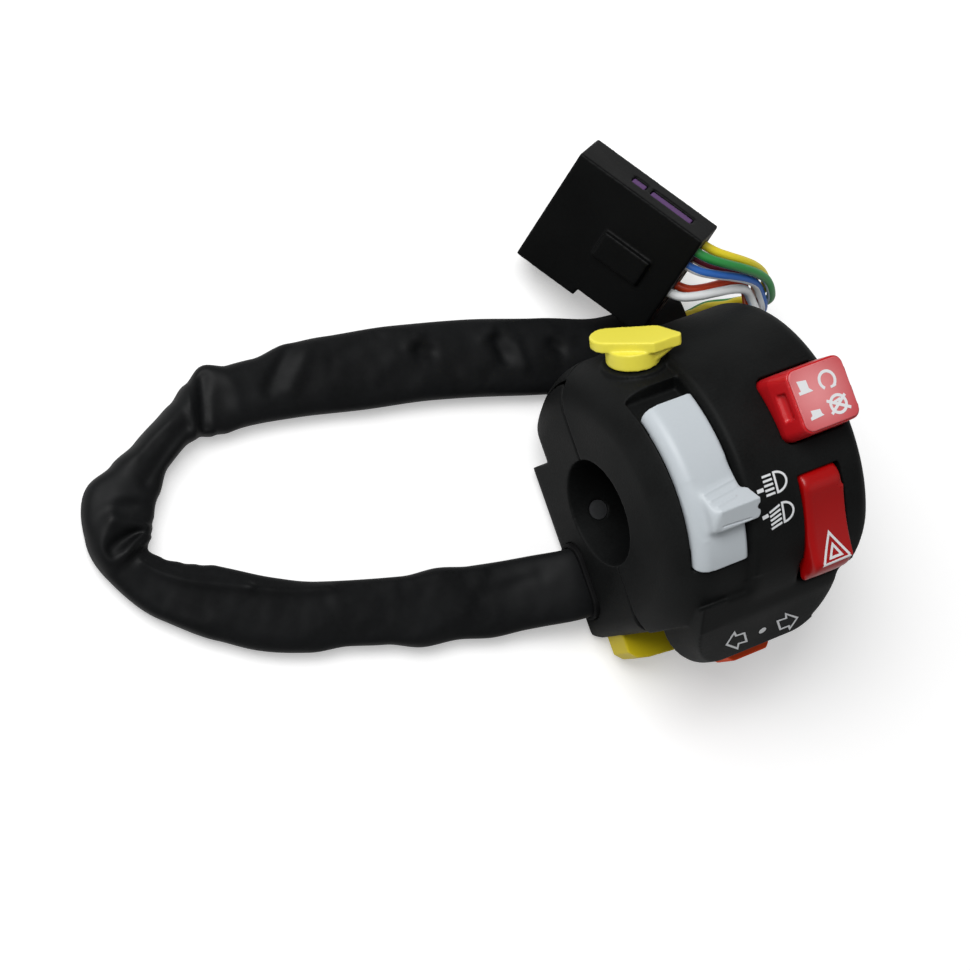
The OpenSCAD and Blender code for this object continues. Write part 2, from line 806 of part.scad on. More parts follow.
// Rocker in its middle position: a hollow between two ridges, bevels, and ends on a circle
module rocker_side() difference() {
  end_z = rocker_top_r - rocker_bevel_drop;
  ridge_y = rocker_half - rocker_bevel;
  intersection() {
    polygon([
      [-rocker_end_r, rocker_under_r], [-rocker_end_r, end_z], [-rocker_half, end_z],
      [-ridge_y, rocker_top_r], [ridge_y, rocker_top_r], [rocker_half, end_z],
      [rocker_end_r, end_z], [rocker_end_r, rocker_under_r]]);
    translate([0, rocker_pivot_r]) circle(rocker_end_r, $fn = 128);
  }
  dish = (ridge_y * ridge_y + rocker_dip * rocker_dip) / (2 * rocker_dip);
  translate([0, rocker_top_r - rocker_dip + dish]) circle(dish, $fn = 180);
}

module rocker_axes() at_rocker() translate([0, 0, rocker_pivot_r])
  rotate([-rocker_tilt, 0, 0]) translate([0, 0, -rocker_pivot_r]) children();

module hazard_rocker() color("#cf1f2b") rocker_axes() difference() {
  union() {
    intersection() {
      translate([-rocker_w / 2, 0, 0]) rotate([90, 0, 90]) linear_extrude(rocker_w) rocker_side();
      linear_extrude(reach) rounded_plate(rocker_w, 2 * rocker_end_r, rocker_round);
    }
    translate([-rocker_hub_w / 2, 0, rocker_pivot_r]) rotate([0, 90, 0])
      cylinder(r = rocker_hub_r, h = rocker_hub_w);
  }
  translate([-rocker_w, 0, rocker_pivot_r]) rotate([0, 90, 0])
    cylinder(d = rocker_pin_d + 2 * fit, h = 2 * rocker_w);
}

module hazard_pin() color("#c8cbcf") at_rocker()
  translate([-rocker_w / 2 - base_wall - rocker_side_gap, 0, rocker_pivot_r]) rotate([0, 90, 0])
  cylinder(d = rocker_pin_d, h = rocker_w + 2 * base_wall + 2 * rocker_side_gap);

module hazard_base_form(grow) intersection() {
  at_rocker() translate([-base_w / 2 - grow, -base_half - grow, base_floor_r - grow])
    cube([base_w + 2 * grow, 2 * (base_half + grow), reach]);
  bar_turn() square([base_top_r + grow, body_len]);
}

module hazard_base() color("#2b2d31") difference() {
  hazard_base_form(0);
  at_rocker() {
    translate([-rocker_w / 2 - rocker_side_gap, -base_half - over, base_floor_r + base_floor_t])
      cube([rocker_w + 2 * rocker_side_gap, 2 * base_half + 2 * over, reach]);
    translate([-reach / 2, 0, rocker_pivot_r]) rotate([0, 90, 0])
      cylinder(d = rocker_pin_d + 2 * fit, h = reach);
  }
}

module hazard_bridge() color("#cfa75a") rocker_axes()
  translate([-bridge_w / 2, -rocker_hub_r / 2, rocker_pivot_r - rocker_hub_r - wiper_t])
  cube([bridge_w, rocker_hub_r, wiper_t]);

module hazard_contacts() color("#cfa75a") at_rocker()
  for (s = [-1, 1]) translate([-bridge_w / 2, s * base_half / 2 - bridge_w / 2,
    base_floor_r + base_floor_t]) cube([bridge_w, bridge_w, contact_t]);

module turn_knob() color("#f2641a") from_left() {
  slope = 2;
  translate([turn_x - turn_w / 2, -foot_low - gap, turn_z - turn_d / 2])
    linear_extrude(turn_d) polygon([
      [0, 0], [slope, -turn_out], [turn_w - slope / 2, -turn_out],
      [turn_w, -turn_out + slope / 2], [turn_w, 0]]);
  translate([turn_x - turn_stem_w / 2, -foot_low - gap, turn_z - turn_stem_d / 2])
    cube([turn_stem_w, wall + 2 * gap, turn_stem_d]);
}

module turn_carriage() color("#3a3c40") from_left()
  translate([turn_x - turn_car_w / 2, -foot_low + wall + gap, turn_z - turn_car_d / 2])
  cube([turn_car_w, turn_car_t, turn_car_d]);

module turn_wiper() color("#cfa75a") from_left()
  translate([turn_x - turn_car_w / 3, -foot_low + wall + gap + turn_car_t, turn_z - turn_car_d / 3])
  cube([turn_car_w * 2 / 3, contact_t, turn_car_d * 2 / 3]);

module turn_contact_base() color("#5a4632") from_left()
  translate([foot_step_x + foot_thin + gap, -foot_low + wall + 2 * gap + turn_car_t + 2 * contact_t,
    turn_z - turn_car_d / 2])
  cube([turn_base_w, turn_base_t, turn_car_d]);

module turn_contacts() color("#cfa75a") from_left()
  for (i = [-1, 0, 1]) translate([turn_x + i * turn_travel - turn_contact_w / 2,
    -foot_low + wall + 2 * gap + turn_car_t + contact_t, turn_z - turn_car_d / 4])
    cube([turn_contact_w, contact_t, turn_car_d / 2]);

// Cap that passes through the wall, with a flange that keeps it in
module horn_button() color("#f4e11c") from_left() {
  bow = 1.6;
  top = -under_y + wall + gap;
  translate([horn_x, 0, horn_z]) linear_extrude(horn_d) difference() {
    translate([0, -horn_low]) square([horn_w, top + horn_flange_t + horn_low]);
    translate([0, -horn_low]) polygon([
      [-over, -over], [horn_w, -over], [horn_w, 0], [horn_w / 3, bow / 2], [bow, bow],
      [0, 2 * bow], [-over, 2 * bow]]);
  }
  translate([horn_x, top, horn_z]) cube([horn_w + horn_flange_over, horn_flange_t, horn_d]);
  translate([horn_x + horn_flange_over, top, horn_z])
    cube([horn_w - 2 * horn_flange_over, horn_flange_t, horn_d + horn_flange_over]);
}

// What the button sweeps inside the shell when it is pushed
module horn_room() from_left()
  translate([horn_x - horn_gap, -under_y + wall, horn_z - horn_gap])
  cube([horn_w + horn_flange_over + 2 * horn_gap, horn_flange_t + horn_travel + 2 * gap,
    horn_d + horn_flange_over + 2 * horn_gap]);

module horn_spring() color("#a9adb2") from_left()
  translate([horn_x + horn_w / 2, -under_y + wall + gap + horn_flange_t + fit, horn_z + horn_d / 2])
  rotate([-90, 0, 0]) coil(horn_spring_turns, horn_spring_r, horn_base_y - horn_base_t - contact_t
    + under_y - wall - gap - horn_flange_t - 2 * fit);

module horn_contact() color("#cfa75a") from_left()
  translate([horn_x + (horn_w - horn_contact_w) / 2, horn_base_y - horn_base_t - contact_t,
    horn_z + (horn_d - horn_contact_d) / 2])
  cube([horn_contact_w, contact_t, horn_contact_d]);

module horn_base() color("#5a4632") from_left()
  translate([horn_x + over, horn_base_y - horn_base_t, -back_depth + wall + gap])
  cube([horn_w - 2 * over, horn_base_t, horn_d]);

module lever_plan() {
  tail = choke_len * choke_tail_share;
  tip = choke_len - tail;
  translate([-tail + choke_end_r, 0]) circle(choke_end_r);
  polygon([
    [-tail + choke_end_r, -choke_end_r], [tip / 2, -choke_half_w], [tip, -edge / 2],
    [tip, edge / 2], [tip / 2, choke_half_w], [-tail + choke_end_r, choke_end_r]]);
}

module choke_lever() color("#f6e51f") at_choke() rotate([0, 0, choke_rest_deg]) {
  hub_z = choke_boss_top + gap;
  translate([0, 0, hub_z]) cylinder(r = choke_hub_r, h = choke_hub_h);
  hull() {
    translate([0, 0, hub_z]) cylinder(r = choke_web_r, h = choke_hub_h, $fn = 32);
    translate([choke_len * (1 - choke_tail_share) - edge, -edge / 2, hub_z + choke_hub_h])
      cube([edge / 2, edge, choke_plate_t / 2]);
  }
  translate([0, 0, hub_z + choke_hub_h - gap]) linear_extrude(choke_plate_t + gap) lever_plan();
  translate([0, 0, pocket_top - gap - arm_t]) cylinder(r = spindle_r, h = hub_z - pocket_top + gap + arm_t);
}

module choke_cable_arm() color("#8e9297") at_choke() rotate([0, 0, choke_rest_deg]) difference() {
  translate([0, 0, pocket_top - gap - arm_t]) cylinder(r = arm_r, h = arm_t);
  translate([0, 0, -over]) cylinder(r = spindle_r + fit, h = reach);
  translate([0, 0, pocket_top - gap - arm_t / 2]) rotate_extrude()
    translate([arm_r, 0]) circle(cable_groove);
}

module choke_arm_screw() color("#b9bcc0") at_choke() difference() {
  translate([0, 0, pocket_top - gap - arm_t - arm_head_h]) cylinder(r = arm_head_r, h = arm_head_h);
  translate([0, 0, pocket_top - gap - arm_t - arm_head_h - over])
    cylinder(r = recess_r, h = recess_deep + over - gap, $fn = 6);
}

module harness_grommet() color("#17181a") {
  difference() {
    union() {
      along(-grommet_out, wall + gap) port_plan(grommet_wall - fit);
      along(wall + gap, wall + gap + grommet_lip) port_plan(grommet_wall + gap);
    }
    along(-reach, reach) port_plan(0);
    horn_room();
    bar_turn() square([saddle_r + gap, body_len]);
  }
}

function unit(v) = v / norm(v);

// Direction of a route at one of its points
function heading(p, i) = unit(p[min(i + 1, len(p) - 1)] - p[max(i - 1, 0)]);

// One ring of a tube, wide across the reference direction and thin along it
function ring(at, dir, w, t, sides, up) = let (s = unit(cross(up, dir)), u = cross(dir, s))
  [for (k = [0:sides - 1]) at + s * w / 2 * cos(360 * k / sides) + u * t / 2 * sin(360 * k / sides)];

module tube(route, w, t, sides, up) {
  n = len(route);
  pts = [for (i = [0:n - 1]) each ring(route[i], heading(route, i), w, t, sides, up)];
  walls = [for (i = [0:n - 2], k = [0:sides - 1]) let (
      a = i * sides + k, b = i * sides + (k + 1) % sides,
      c = (i + 1) * sides + (k + 1) % sides, d = (i + 1) * sides + k)
    each [[a, c, b], [a, d, c]]];
  last = (n - 1) * sides;
  caps = [for (k = [1:sides - 2]) each [[0, k, k + 1], [last, last + k + 1, last + k]]];
  polyhedron(pts, concat(walls, caps));
}

module harness_sleeve() color("#1b1c1e")
  tube(sleeve_route, sleeve_w, sleeve_t, 12, [0, 0, 1]);

module connector_axes() translate(conn_at) rotate(conn_turn) children();

// The same place as a function, for the points of the wires
function turn_x_by(a, p) = [p[0], p[1] * cos(a) - p[2] * sin(a), p[1] * sin(a) + p[2] * cos(a)];
function turn_y_by(a, p) = [p[0] * cos(a) + p[2] * sin(a), p[1], -p[0] * sin(a) + p[2] * cos(a)];
function turn_z_by(a, p) = [p[0] * cos(a) - p[1] * sin(a), p[0] * sin(a) + p[1] * cos(a), p[2]];
function in_connector(p) = conn_at
  + turn_z_by(conn_turn[2], turn_y_by(conn_turn[1], turn_x_by(conn_turn[0], p)));

function cavity_at(col, row) = [cavity_mid + (col - (cavity_cols - 1) / 2) * cavity_pitch,
  row * cavity_row];

// A smooth curve from a to d that leaves a towards b and reaches d from c
function curve(a, b, c, d, t) = let (u = 1 - t)
  u * u * u * a + 3 * u * u * t * b + 3 * u * t * t * c + t * t * t * d;

// The wires leave the sleeve in two rows of three, stay beside each other as the bundle
// turns, and part on smooth curves that each end in a cavity
function wire_route(lane, col, row) = let (
    n = len(bundle_route), c = cavity_at(col, row),
    place = [for (i = [0:n - 1]) let (
      t = max(0, i - 1) / (n - 2), dir = heading(bundle_route, i),
      want = (1 - t) * [0, 1, 0] + t * (in_connector([1, 0, 0]) - conn_at),
      s = unit(want - (want * dir) * dir), u = cross(dir, s))
      bundle_route[i] + lane * bundle_pitch * s - row * bundle_pitch / 2 * u],
    leave = place[n - 1] + bundle_arm * heading(bundle_route, n - 1),
    enter = in_connector([c[0], c[1], conn_len + cavity_arm]),
    face = in_connector([c[0], c[1], conn_len]))
  concat(place,
    [for (i = [1:part_steps]) curve(place[n - 1], leave, enter, face, i / part_steps)],
    [in_connector([c[0], c[1], conn_len - cavity_in])]);

module wire(lane, col, row) tube(wire_route(lane, col, row), wire_d, wire_d, 8, [0, 1, 0]);

module wire_yellow() color("#f2d21c") wire(1, 4, -1);
module wire_green() color("#2f8f3f") wire(1, 4, 1);
module wire_orange() color("#e8552a") wire(-1, 1, -1);
module wire_blue() color("#3a6fc4") wire(0, 3, 1);
module wire_white() color("#e8e8e6") wire(-1, 1, 1);
module wire_brown() color("#6b3a2a") wire(0, 3, -1);

module connector_housing() color("#141517") connector_axes() difference() {
  union() {
    translate([-conn_w / 2, -conn_t / 2, 0]) cube([conn_w, conn_t, conn_step_z]);
    translate([-conn_w / 2 + conn_step_w, -conn_t / 2, 0])
      cube([conn_w - conn_step_w, conn_t, conn_len]);
    translate([-latch_w / 2, 0, latch_low])
      cube([latch_w, conn_t / 2 + latch_out, latch_high - latch_low]);
  }
  for (col = [0:cavity_cols - 1], row = [-1, 1]) translate(cavity_at(col, row))
    translate([0, 0, -over]) cylinder(r = cavity_r, h = conn_len + 2 * over);
  for (span = [[lock_low, lock_bar_low], [lock_bar_high, lock_high]])
    translate([conn_w / 2 - lock_room, -lock_half - gap, span[0]])
      cube([lock_room + over, 2 * lock_half + 2 * gap, span[1] - span[0]]);
}

module connector_lock() color("#7d3f9a") connector_axes()
  for (span = [[lock_low, lock_bar_low], [lock_bar_high, lock_high]])
    translate([conn_w / 2 - lock_room + fit, -lock_half, span[0] + gap / 2])
      cube([lock_room - gap - fit, 2 * lock_half, span[1] - span[0] - gap]);

module connector_terminals() color("#cfa75a") connector_axes()
  for (col = [0:cavity_cols - 1], row = [-1, 1]) translate(cavity_at(col, row))
    translate([0, 0, over]) cylinder(r = terminal_r, h = conn_len - cavity_in - over);

front_shell();
rear_shell();
housing_screws();
screw_inserts();
bar_lock_screw();
headlight_slider();
slider_carriage();
slider_wiper();
slider_detent_ball();
slider_detent_spring();
headlight_contact_base();
headlight_contacts();
kill_button();
kill_label();
kill_plunger();
kill_spring();
kill_switch_body();
hazard_rocker();
hazard_pin();
hazard_base();
hazard_bridge();
hazard_contacts();
turn_knob();
turn_carriage();
turn_wiper();
turn_contact_base();
turn_contacts();
horn_button();
horn_spring();
horn_contact();
horn_base();
choke_lever();
choke_cable_arm();
choke_arm_screw();
harness_grommet();
harness_sleeve();
wire_yellow();
wire_green();
wire_orange();
wire_blue();
wire_white();
wire_brown();
connector_housing();
connector_lock();
connector_terminals();
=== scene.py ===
# %% [markdown]
# A handlebar switch cluster, seen from above its left end. The CAD parts come in as a fixed
# frame in metres: X along the bar, Y towards the yellow lever, Z out of the controls.
# Lengths below are written in millimetres. The cords and the connector use the frame's own
# X, which starts at the middle of the housing. Camera, buttons and marks count x from the
# housing's left end, because that is how one measures the real thing with a caliper.

# %% Load the frame and keep its box
import bpy, bmesh, json, math
from mathutils import Matrix, Vector, noise


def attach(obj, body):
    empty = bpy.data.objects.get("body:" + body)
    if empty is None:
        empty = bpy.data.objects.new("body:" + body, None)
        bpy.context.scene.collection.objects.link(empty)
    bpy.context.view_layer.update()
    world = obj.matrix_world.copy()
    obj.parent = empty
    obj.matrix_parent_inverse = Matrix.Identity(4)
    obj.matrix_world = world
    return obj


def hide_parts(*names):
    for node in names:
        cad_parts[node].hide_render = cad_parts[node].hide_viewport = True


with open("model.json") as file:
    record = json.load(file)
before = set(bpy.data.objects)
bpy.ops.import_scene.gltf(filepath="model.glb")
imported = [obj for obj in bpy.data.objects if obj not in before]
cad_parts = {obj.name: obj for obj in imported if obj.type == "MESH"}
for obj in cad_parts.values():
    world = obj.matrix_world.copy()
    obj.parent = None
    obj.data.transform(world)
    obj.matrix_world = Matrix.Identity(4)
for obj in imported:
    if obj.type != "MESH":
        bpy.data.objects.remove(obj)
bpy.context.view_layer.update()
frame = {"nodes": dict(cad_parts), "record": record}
cad_nodes = frame["nodes"]
HALF = 23.75      # half the housing's length: the frame's X is counted from its middle

def spot(x, y, z):
    """A place in the frame, in metres, from millimetres counted from the left end."""
    return Vector(((x - HALF) / 1000, y / 1000, z / 1000))

# %% [markdown]
# The camera stands high, past the left end of the housing. Its place and turn were fitted to
# the rim of the bar bore, a circle of known size, so a long lens and a far stand give the
# same gentle perspective as the photograph.

# %% Camera
SENSOR_WIDTH = 36
FOCAL_LENGTH = 121.92
CAMERA_STAND = (-293.465, 38.682, 581.012)
right = Vector((0.8493, -0.3298, 0.4123))
up = Vector((0.3148, 0.9432, 0.1059))
back = right.cross(up).normalized()
up = back.cross(right).normalized()
right.normalize()
lens = bpy.data.cameras.new("camera")
lens.sensor_width = SENSOR_WIDTH
lens.lens = FOCAL_LENGTH
camera = bpy.data.objects.new("camera", lens)
bpy.context.collection.objects.link(camera)
turn = Matrix((right, up, back)).transposed().to_4x4()
camera.matrix_world = Matrix.Translation(spot(*CAMERA_STAND)) @ turn
bpy.context.scene.camera = camera
print("Camera at", [round(v, 3) for v in camera.location],
      "looking along", [round(-v, 2) for v in back])

# %% [markdown]
# Cords come next. The flattened sleeve and the wires follow the same points as their CAD
# solids. A smooth curve through the points is sampled about every half millimetre, and a
# flat grid is rolled round it: one side runs along the cord, the other goes round.

# %% Helpers for routes
def smooth_route(points, step):
    """Points on a smooth curve through the given ones, about step apart (millimetres)."""
    pts = [Vector(p) for p in points]
    ends = [2 * pts[0] - pts[1]] + pts + [2 * pts[-1] - pts[-2]]
    path = []
    for i in range(1, len(ends) - 2):
        a, b, c, d = ends[i - 1:i + 3]
        count = max(1, round((c - b).length / step))
        for k in range(count):
            t = k / count
            path.append(0.5 * (2 * b + (c - a) * t + (2 * a - 5 * b + 4 * c - d) * t * t
                               + (3 * b - a - 3 * c + d) * t ** 3))
    return path + [pts[-1]]

def headings(path):
    """The direction in which a path runs at each of its points."""
    last = len(path) - 1
    return [(path[min(i + 1, last)] - path[max(i - 1, 0)]).normalized() for i in range(len(path))]

def travelled(path):
    """The length of a path up to each of its points."""
    total, out = 0.0, [0.0]
    for a, b in zip(path, path[1:]):
        total += (b - a).length
        out.append(total)
    return out

def new_piece(name, bm, smooth=True):
    """An object in metres from a bmesh drawn in millimetres, in the frame's own axes."""
    bmesh.ops.scale(bm, vec=(0.001,) * 3, verts=bm.verts)
    mesh = bpy.data.meshes.new(name)
    bm.to_mesh(mesh)
    bm.free()
    for face in mesh.polygons:
        face.use_smooth = smooth
    piece = bpy.data.objects.new(name, mesh)
    bpy.context.collection.objects.link(piece)
    return piece

def rolled_tube(name, path, around, surface):
    """Rolls a grid round a path. surface(i, angle) gives the point of ring i at that angle."""
    bm = bmesh.new()
    bm.loops.layers.uv.new("UVMap")
    rows = len(path)
    bmesh.ops.create_grid(bm, x_segments=rows - 1, y_segments=around, size=0.5, calc_uvs=True)
    for vert in bm.verts:
        i = round((vert.co.x + 0.5) * (rows - 1))
        vert.co = surface(i, 2 * math.pi * (vert.co.y + 0.5))
    bmesh.ops.remove_doubles(bm, verts=bm.verts, dist=1e-4)
    bmesh.ops.holes_fill(bm, edges=[e for e in bm.edges if e.is_boundary])
    bmesh.ops.recalc_face_normals(bm, faces=bm.faces)
    return new_piece(name, bm)

def between(table, x):
    """Reads a table of (x, value) pairs, with a soft passage from one to the next."""
    if x <= table[0][0]:
        return table[0][1]
    for (x0, y0), (x1, y1) in zip(table, table[1:]):
        if x <= x1:
            t = (x - x0) / (x1 - x0)
            return y0 + (y1 - y0) * t * t * (3 - 2 * t)
    return table[-1][1]

def bell(x, width):
    """A soft bump: 1 in the middle, and next to nothing at two widths from it."""
    return math.exp(-(x / width) ** 2)

# %% [markdown]
# The sleeve is a soft vinyl tube pressed flat. Where it turns, a real one folds: the band
# gets narrow and thick, its upper skin rides over itself, and small pits and ridges run
# from there along it. A table of widths and a short list of folds, each placed by its
# distance along the sleeve and across it, gives that look without a simulation, so every
# fold stays where the real one has it.

# %% Sleeve
sleeve_points = [
    (-21, -12.8, -17), (-26, -12.8, -17), (-33, -11.6, -18.8), (-43, -9.8, -20.6),
    (-63, -5.5, -20.8), (-84, 0.7, -20.8), (-97, 7.6, -20.8), (-106.5, 14, -20.8),
    (-112, 21, -20.8), (-113, 27.5, -20.8), (-110, 33.5, -20.8), (-100.5, 40.5, -20.8),
    (-92, 44.7, -20.8), (-84, 46.2, -20.8), (-75, 45.8, -20.8), (-60, 43.3, -20.8),
    (-45, 40.4, -20.8), (-30, 36.8, -20.8), (-15, 32.6, -20.8), (-2, 29.4, -20.8),
    (9, 28.5, -20.8), (20, 28.5, -20.8)]
sleeve_path = smooth_route(sleeve_points, 0.6)
sleeve_dirs = headings(sleeve_path)
sleeve_run = travelled(sleeve_path)
print("Sleeve is", round(sleeve_run[-1], 1), "mm long in", len(sleeve_path), "rings")

# Each table pairs a distance along the sleeve with a half width or a height there
outer_width = [(0, 7.3), (16, 7.3), (23, 7.7), (31, 7.0), (38, 7.5), (46, 6.2), (54, 5.9),
               (62, 6.8), (72, 7.0), (80, 6.7), (91, 5.6), (100, 5.0), (107, 6.0), (113, 7.1),
               (119, 4.9), (125, 3.7), (131, 3.5), (135, 3.8), (139, 5.3), (143, 7.2),
               (147, 5.6), (152, 5.7), (160, 7.6), (167, 8.0), (182, 8.5), (200, 8.7),
               (215, 8.5), (230, 7.6), (250, 7.3)]
inner_width = [(0, 7.3), (26, 7.3), (33, 7.9), (41, 7.1), (60, 7.2), (70, 7.6), (83, 7.6),
               (87, 6.9), (91, 6.2), (96, 5.2), (100, 4.6), (104, 6.6), (108, 7.3), (113, 7.3),
               (119, 5.9), (125, 4.2), (131, 4.1), (135, 4.7), (139, 6.2), (143, 7.0),
               (160, 7.2), (175, 7.6), (190, 7.2), (250, 7.3)]
top_height = [(0, 2.95), (90, 2.9), (98, 2.5), (101.5, 2.5), (103.5, 4.3), (112, 4.2),
              (122, 4.6), (132, 4.6), (137, 3.9), (142, 3.0), (152, 3.3), (250, 2.95)]
UNDERSIDE = 3.05      # the lower skin lies flat
DEEPEST_PIT = 0.9     # how far the upper skin may dip below the middle
SMOOTH_START = 14     # the folds grow over this first stretch out of the grommet
RINGS_ROUND = 72
# Each fold: run from and to, across from and to (towards the outer side), width, height
folds = [
    (58, -5.9, 76, -4.6, 1.0, 0.55), (76, -4.6, 100, -1.5, 0.9, 0.6),
    (60, -3.2, 96, 0.8, 2.2, -0.35), (105, 5.0, 110, 2.0, 1.5, 0.55),
    (110, 2.0, 108, -5.5, 1.3, 0.6), (105, 2.6, 107, -3.2, 1.3, -1.5),
    (103.5, 0.5, 106, -4.0, 0.6, 0.6), (109.5, 5.2, 113.5, -1.5, 1.2, -0.5),
    (113.5, 2, 118, -5, 1.6, 0.4), (138.5, 6.0, 133.5, -4.0, 0.8, 0.7),
    (141.5, 5.0, 137, -3.5, 1.2, -1.1), (146, 5.0, 146, -6.0, 1.7, 0.45),
    (122, 3.0, 131, 2.2, 1.2, 0.4), (119, -1.5, 133, -1.0, 1.1, -0.5),
    (160.5, 7.8, 153, -1.0, 1.5, -0.8), (164, 7.4, 158, -1.5, 1.7, 0.5),
    (152, -2.0, 150, -6.5, 2.4, 0.3), (168, 3.0, 178, 6.8, 1.6, -0.35),
    (176, -1.5, 181, 1.5, 1.8, 0.3), (187, 2.6, 189, 2.2, 1.7, -1.0),
    (204, 3.6, 205.5, 0.6, 1.6, -1.2), (216.5, 2.6, 218, 1.6, 1.3, -0.9),
    (184, 3.6, 187, 6.0, 1.1, 0.35), (200.5, 4.2, 203, 6.2, 1.0, 0.35),
    (208.5, 2.5, 209.5, -1.5, 1.0, 0.3), (196, -3, 201, -6, 1.6, 0.25),
    (24, -6.2, 44, -6.6, 1.2, 0.3), (30, 2.5, 40, 5.4, 2.0, 0.3), (47, 1.8, 55, 4.6, 2.0, -0.3),
    (84, 3, 92, 2.2, 1.3, -0.3), (12, -3.0, 26, -1.0, 1.4, -0.25)]

def near_line(p, q, a, b):
    """Distance of the point (p, q) from the line between two ends, a and b."""
    ax, ay = a
    dx, dy = b[0] - ax, b[1] - ay
    t = max(0.0, min(1.0, ((p - ax) * dx + (q - ay) * dy) / (dx * dx + dy * dy)))
    return math.hypot(p - ax - dx * t, q - ay - dy * t)

def fold_height(run, across):
    """How much all folds together raise the upper skin at one place."""
    total = 0.0
    for r0, a0, r1, a1, width, height in folds:
        if min(r0, r1) - 3 * width < run < max(r0, r1) + 3 * width:
            total += height * bell(near_line(run, across, (r0, a0), (r1, a1)), width)
    return total

def sleeve_surface(i, angle):
    run, way = sleeve_run[i], sleeve_dirs[i]
    side = Vector((0, 0, 1)).cross(way).normalized()
    c, s = math.cos(angle), math.sin(angle)
    across = math.copysign(abs(c) ** 0.8, c) * between(outer_width if c > 0 else inner_width, run)
    if s > 0:
        high = s ** 0.7 * between(top_height, run)
        long_wave = noise.noise(Vector((run * 0.11, across * 0.16, 3.0)))
        short_wave = noise.noise(Vector((run * 0.33, across * 0.3, 9.0)))
        wave = long_wave * 0.4 + short_wave * 0.14
        high += s ** 0.5 * min(1.0, run / SMOOTH_START) * (fold_height(run, across) + wave)
        high = max(high, -DEEPEST_PIT * abs(s))
    else:
        high = -UNDERSIDE * abs(s) ** 0.7
    return sleeve_path[i] + side * across + way.cross(side) * high

sleeve = rolled_tube("harness_sleeve_soft", sleeve_path, RINGS_ROUND, sleeve_surface)
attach(sleeve, "housing")
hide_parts("harness_sleeve")
print("Sleeve has", len(sleeve.data.polygons), "faces and", len(folds), "folds")

# %% [markdown]
# Six wires leave the sleeve in two rows of three, stay side by side while the bundle turns
# behind the housing, and part on smooth curves that each end in a cavity of the connector.
# A cubic curve needs only its two ends and the directions in which it leaves them, so it
# is the natural tool for a wire that has to come straight out of a hole.

# %% Wires
bundle_points = [Vector(p) for p in [
    (20, 28.5, -20.8), (21.5, 28.5, -20.8), (23, 28.5, -20.8), (26.1, 28.9, -19.6),
    (29.3, 28, -17.1), (31.2, 27.6, -14.2), (31.1, 26.9, -10.5), (30.4, 28.6, -6),
    (29.5, 31.2, -3.1)]]
bundle_ways = headings(bundle_points)
WIRE = 1.9            # across the insulation
PITCH = 2.35          # between two wires of the bundle
CONN_LEN = 30.2       # from the connector's mating face to the face that the wires enter
CAVITY_MIDDLE = 2.2   # the third cavity of a row, from the connector's middle
CAVITY_STEP = 3.6     # between two cavities of a row
CAVITY_ROW = 2.4      # a row, from the connector's middle
CAVITY_DEPTH = 2.6    # how far a wire is seen to go in
BUNDLE_ARM = 7.2      # how firmly a wire keeps the bundle's direction as it leaves
CAVITY_ARM = 5.4      # how firmly it lines up with its cavity
CURVE_STEPS = 6
conn_place = (Matrix.Translation((-3.6, 62.6, -10.4)) @ Matrix.Rotation(math.radians(52), 4, "Z")
              @ Matrix.Rotation(math.radians(-47), 4, "Y") @ Matrix.Rotation(math.radians(60), 4, "X"))
conn_side = conn_place.to_3x3() @ Vector((1, 0, 0))

def wire_points(lane, col, row):
    """The route of the wire in one lane and layer of the bundle, to its cavity."""
    last = len(bundle_points) - 1
    points = []
    for i, (p, way) in enumerate(zip(bundle_points, bundle_ways)):
        t = max(0, i - 1) / (last - 1)
        want = (1 - t) * Vector((0, 1, 0)) + t * conn_side
        side = (want - want.dot(way) * way).normalized()
        points.append(p + lane * PITCH * side - row * PITCH / 2 * way.cross(side))
    x = CAVITY_MIDDLE + (col - 2) * CAVITY_STEP
    y = CAVITY_ROW * row
    start = points[-1]
    leave = start + BUNDLE_ARM * bundle_ways[-1]
    enter = conn_place @ Vector((x, y, CONN_LEN + CAVITY_ARM))
    face = conn_place @ Vector((x, y, CONN_LEN))
    for k in range(1, CURVE_STEPS + 1):
        t = k / CURVE_STEPS
        u = 1 - t
        points.append(u ** 3 * start + 3 * u * u * t * leave + 3 * u * t * t * enter + t ** 3 * face)
    return points + [conn_place @ Vector((x, y, CONN_LEN - CAVITY_DEPTH))]

def round_tube(name, points, radius, step=0.5, around=16):
    """A round tube. Its side direction is carried along the path, so it never twists."""
    path = smooth_route(points, step)
    ways = headings(path)
    sides = [ways[0].orthogonal().normalized()]
    for way in ways[1:]:
        sides.append((sides[-1] - sides[-1].dot(way) * way).normalized())

    def surface(i, angle):
        out = sides[i] * math.cos(angle) + ways[i].cross(sides[i]) * math.sin(angle)
        return path[i] + radius * out
    return rolled_tube(name, path, around, surface), path

# Colour, lane of the bundle, column and row of its cavity
lanes = [("yellow", 1, 4, -1), ("green", 1, 4, 1), ("orange", -1, 1, -1),
         ("blue", 0, 3, 1), ("white", -1, 1, 1), ("brown", 0, 3, -1)]
wires = {}
for colour, lane, col, row in lanes:
    piece, path = round_tube("wire_" + colour + "_cord", wire_points(lane, col, row), WIRE / 2)
    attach(piece, "housing")
    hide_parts("wire_" + colour)
    length = travelled(path)[-1]
    [p / 1000 for p in path]
    wires[colour] = piece
    print("wire", colour, round(length, 1), "mm")

# %% [markdown]
# A pale floor under soft light. The floor is a matt white that is lifted a little for the
# camera only, so it reads as a white page and still keeps the part's shadow. Two large
# lamps and an even sky give light at a plain level, so a colour renders as it is written.

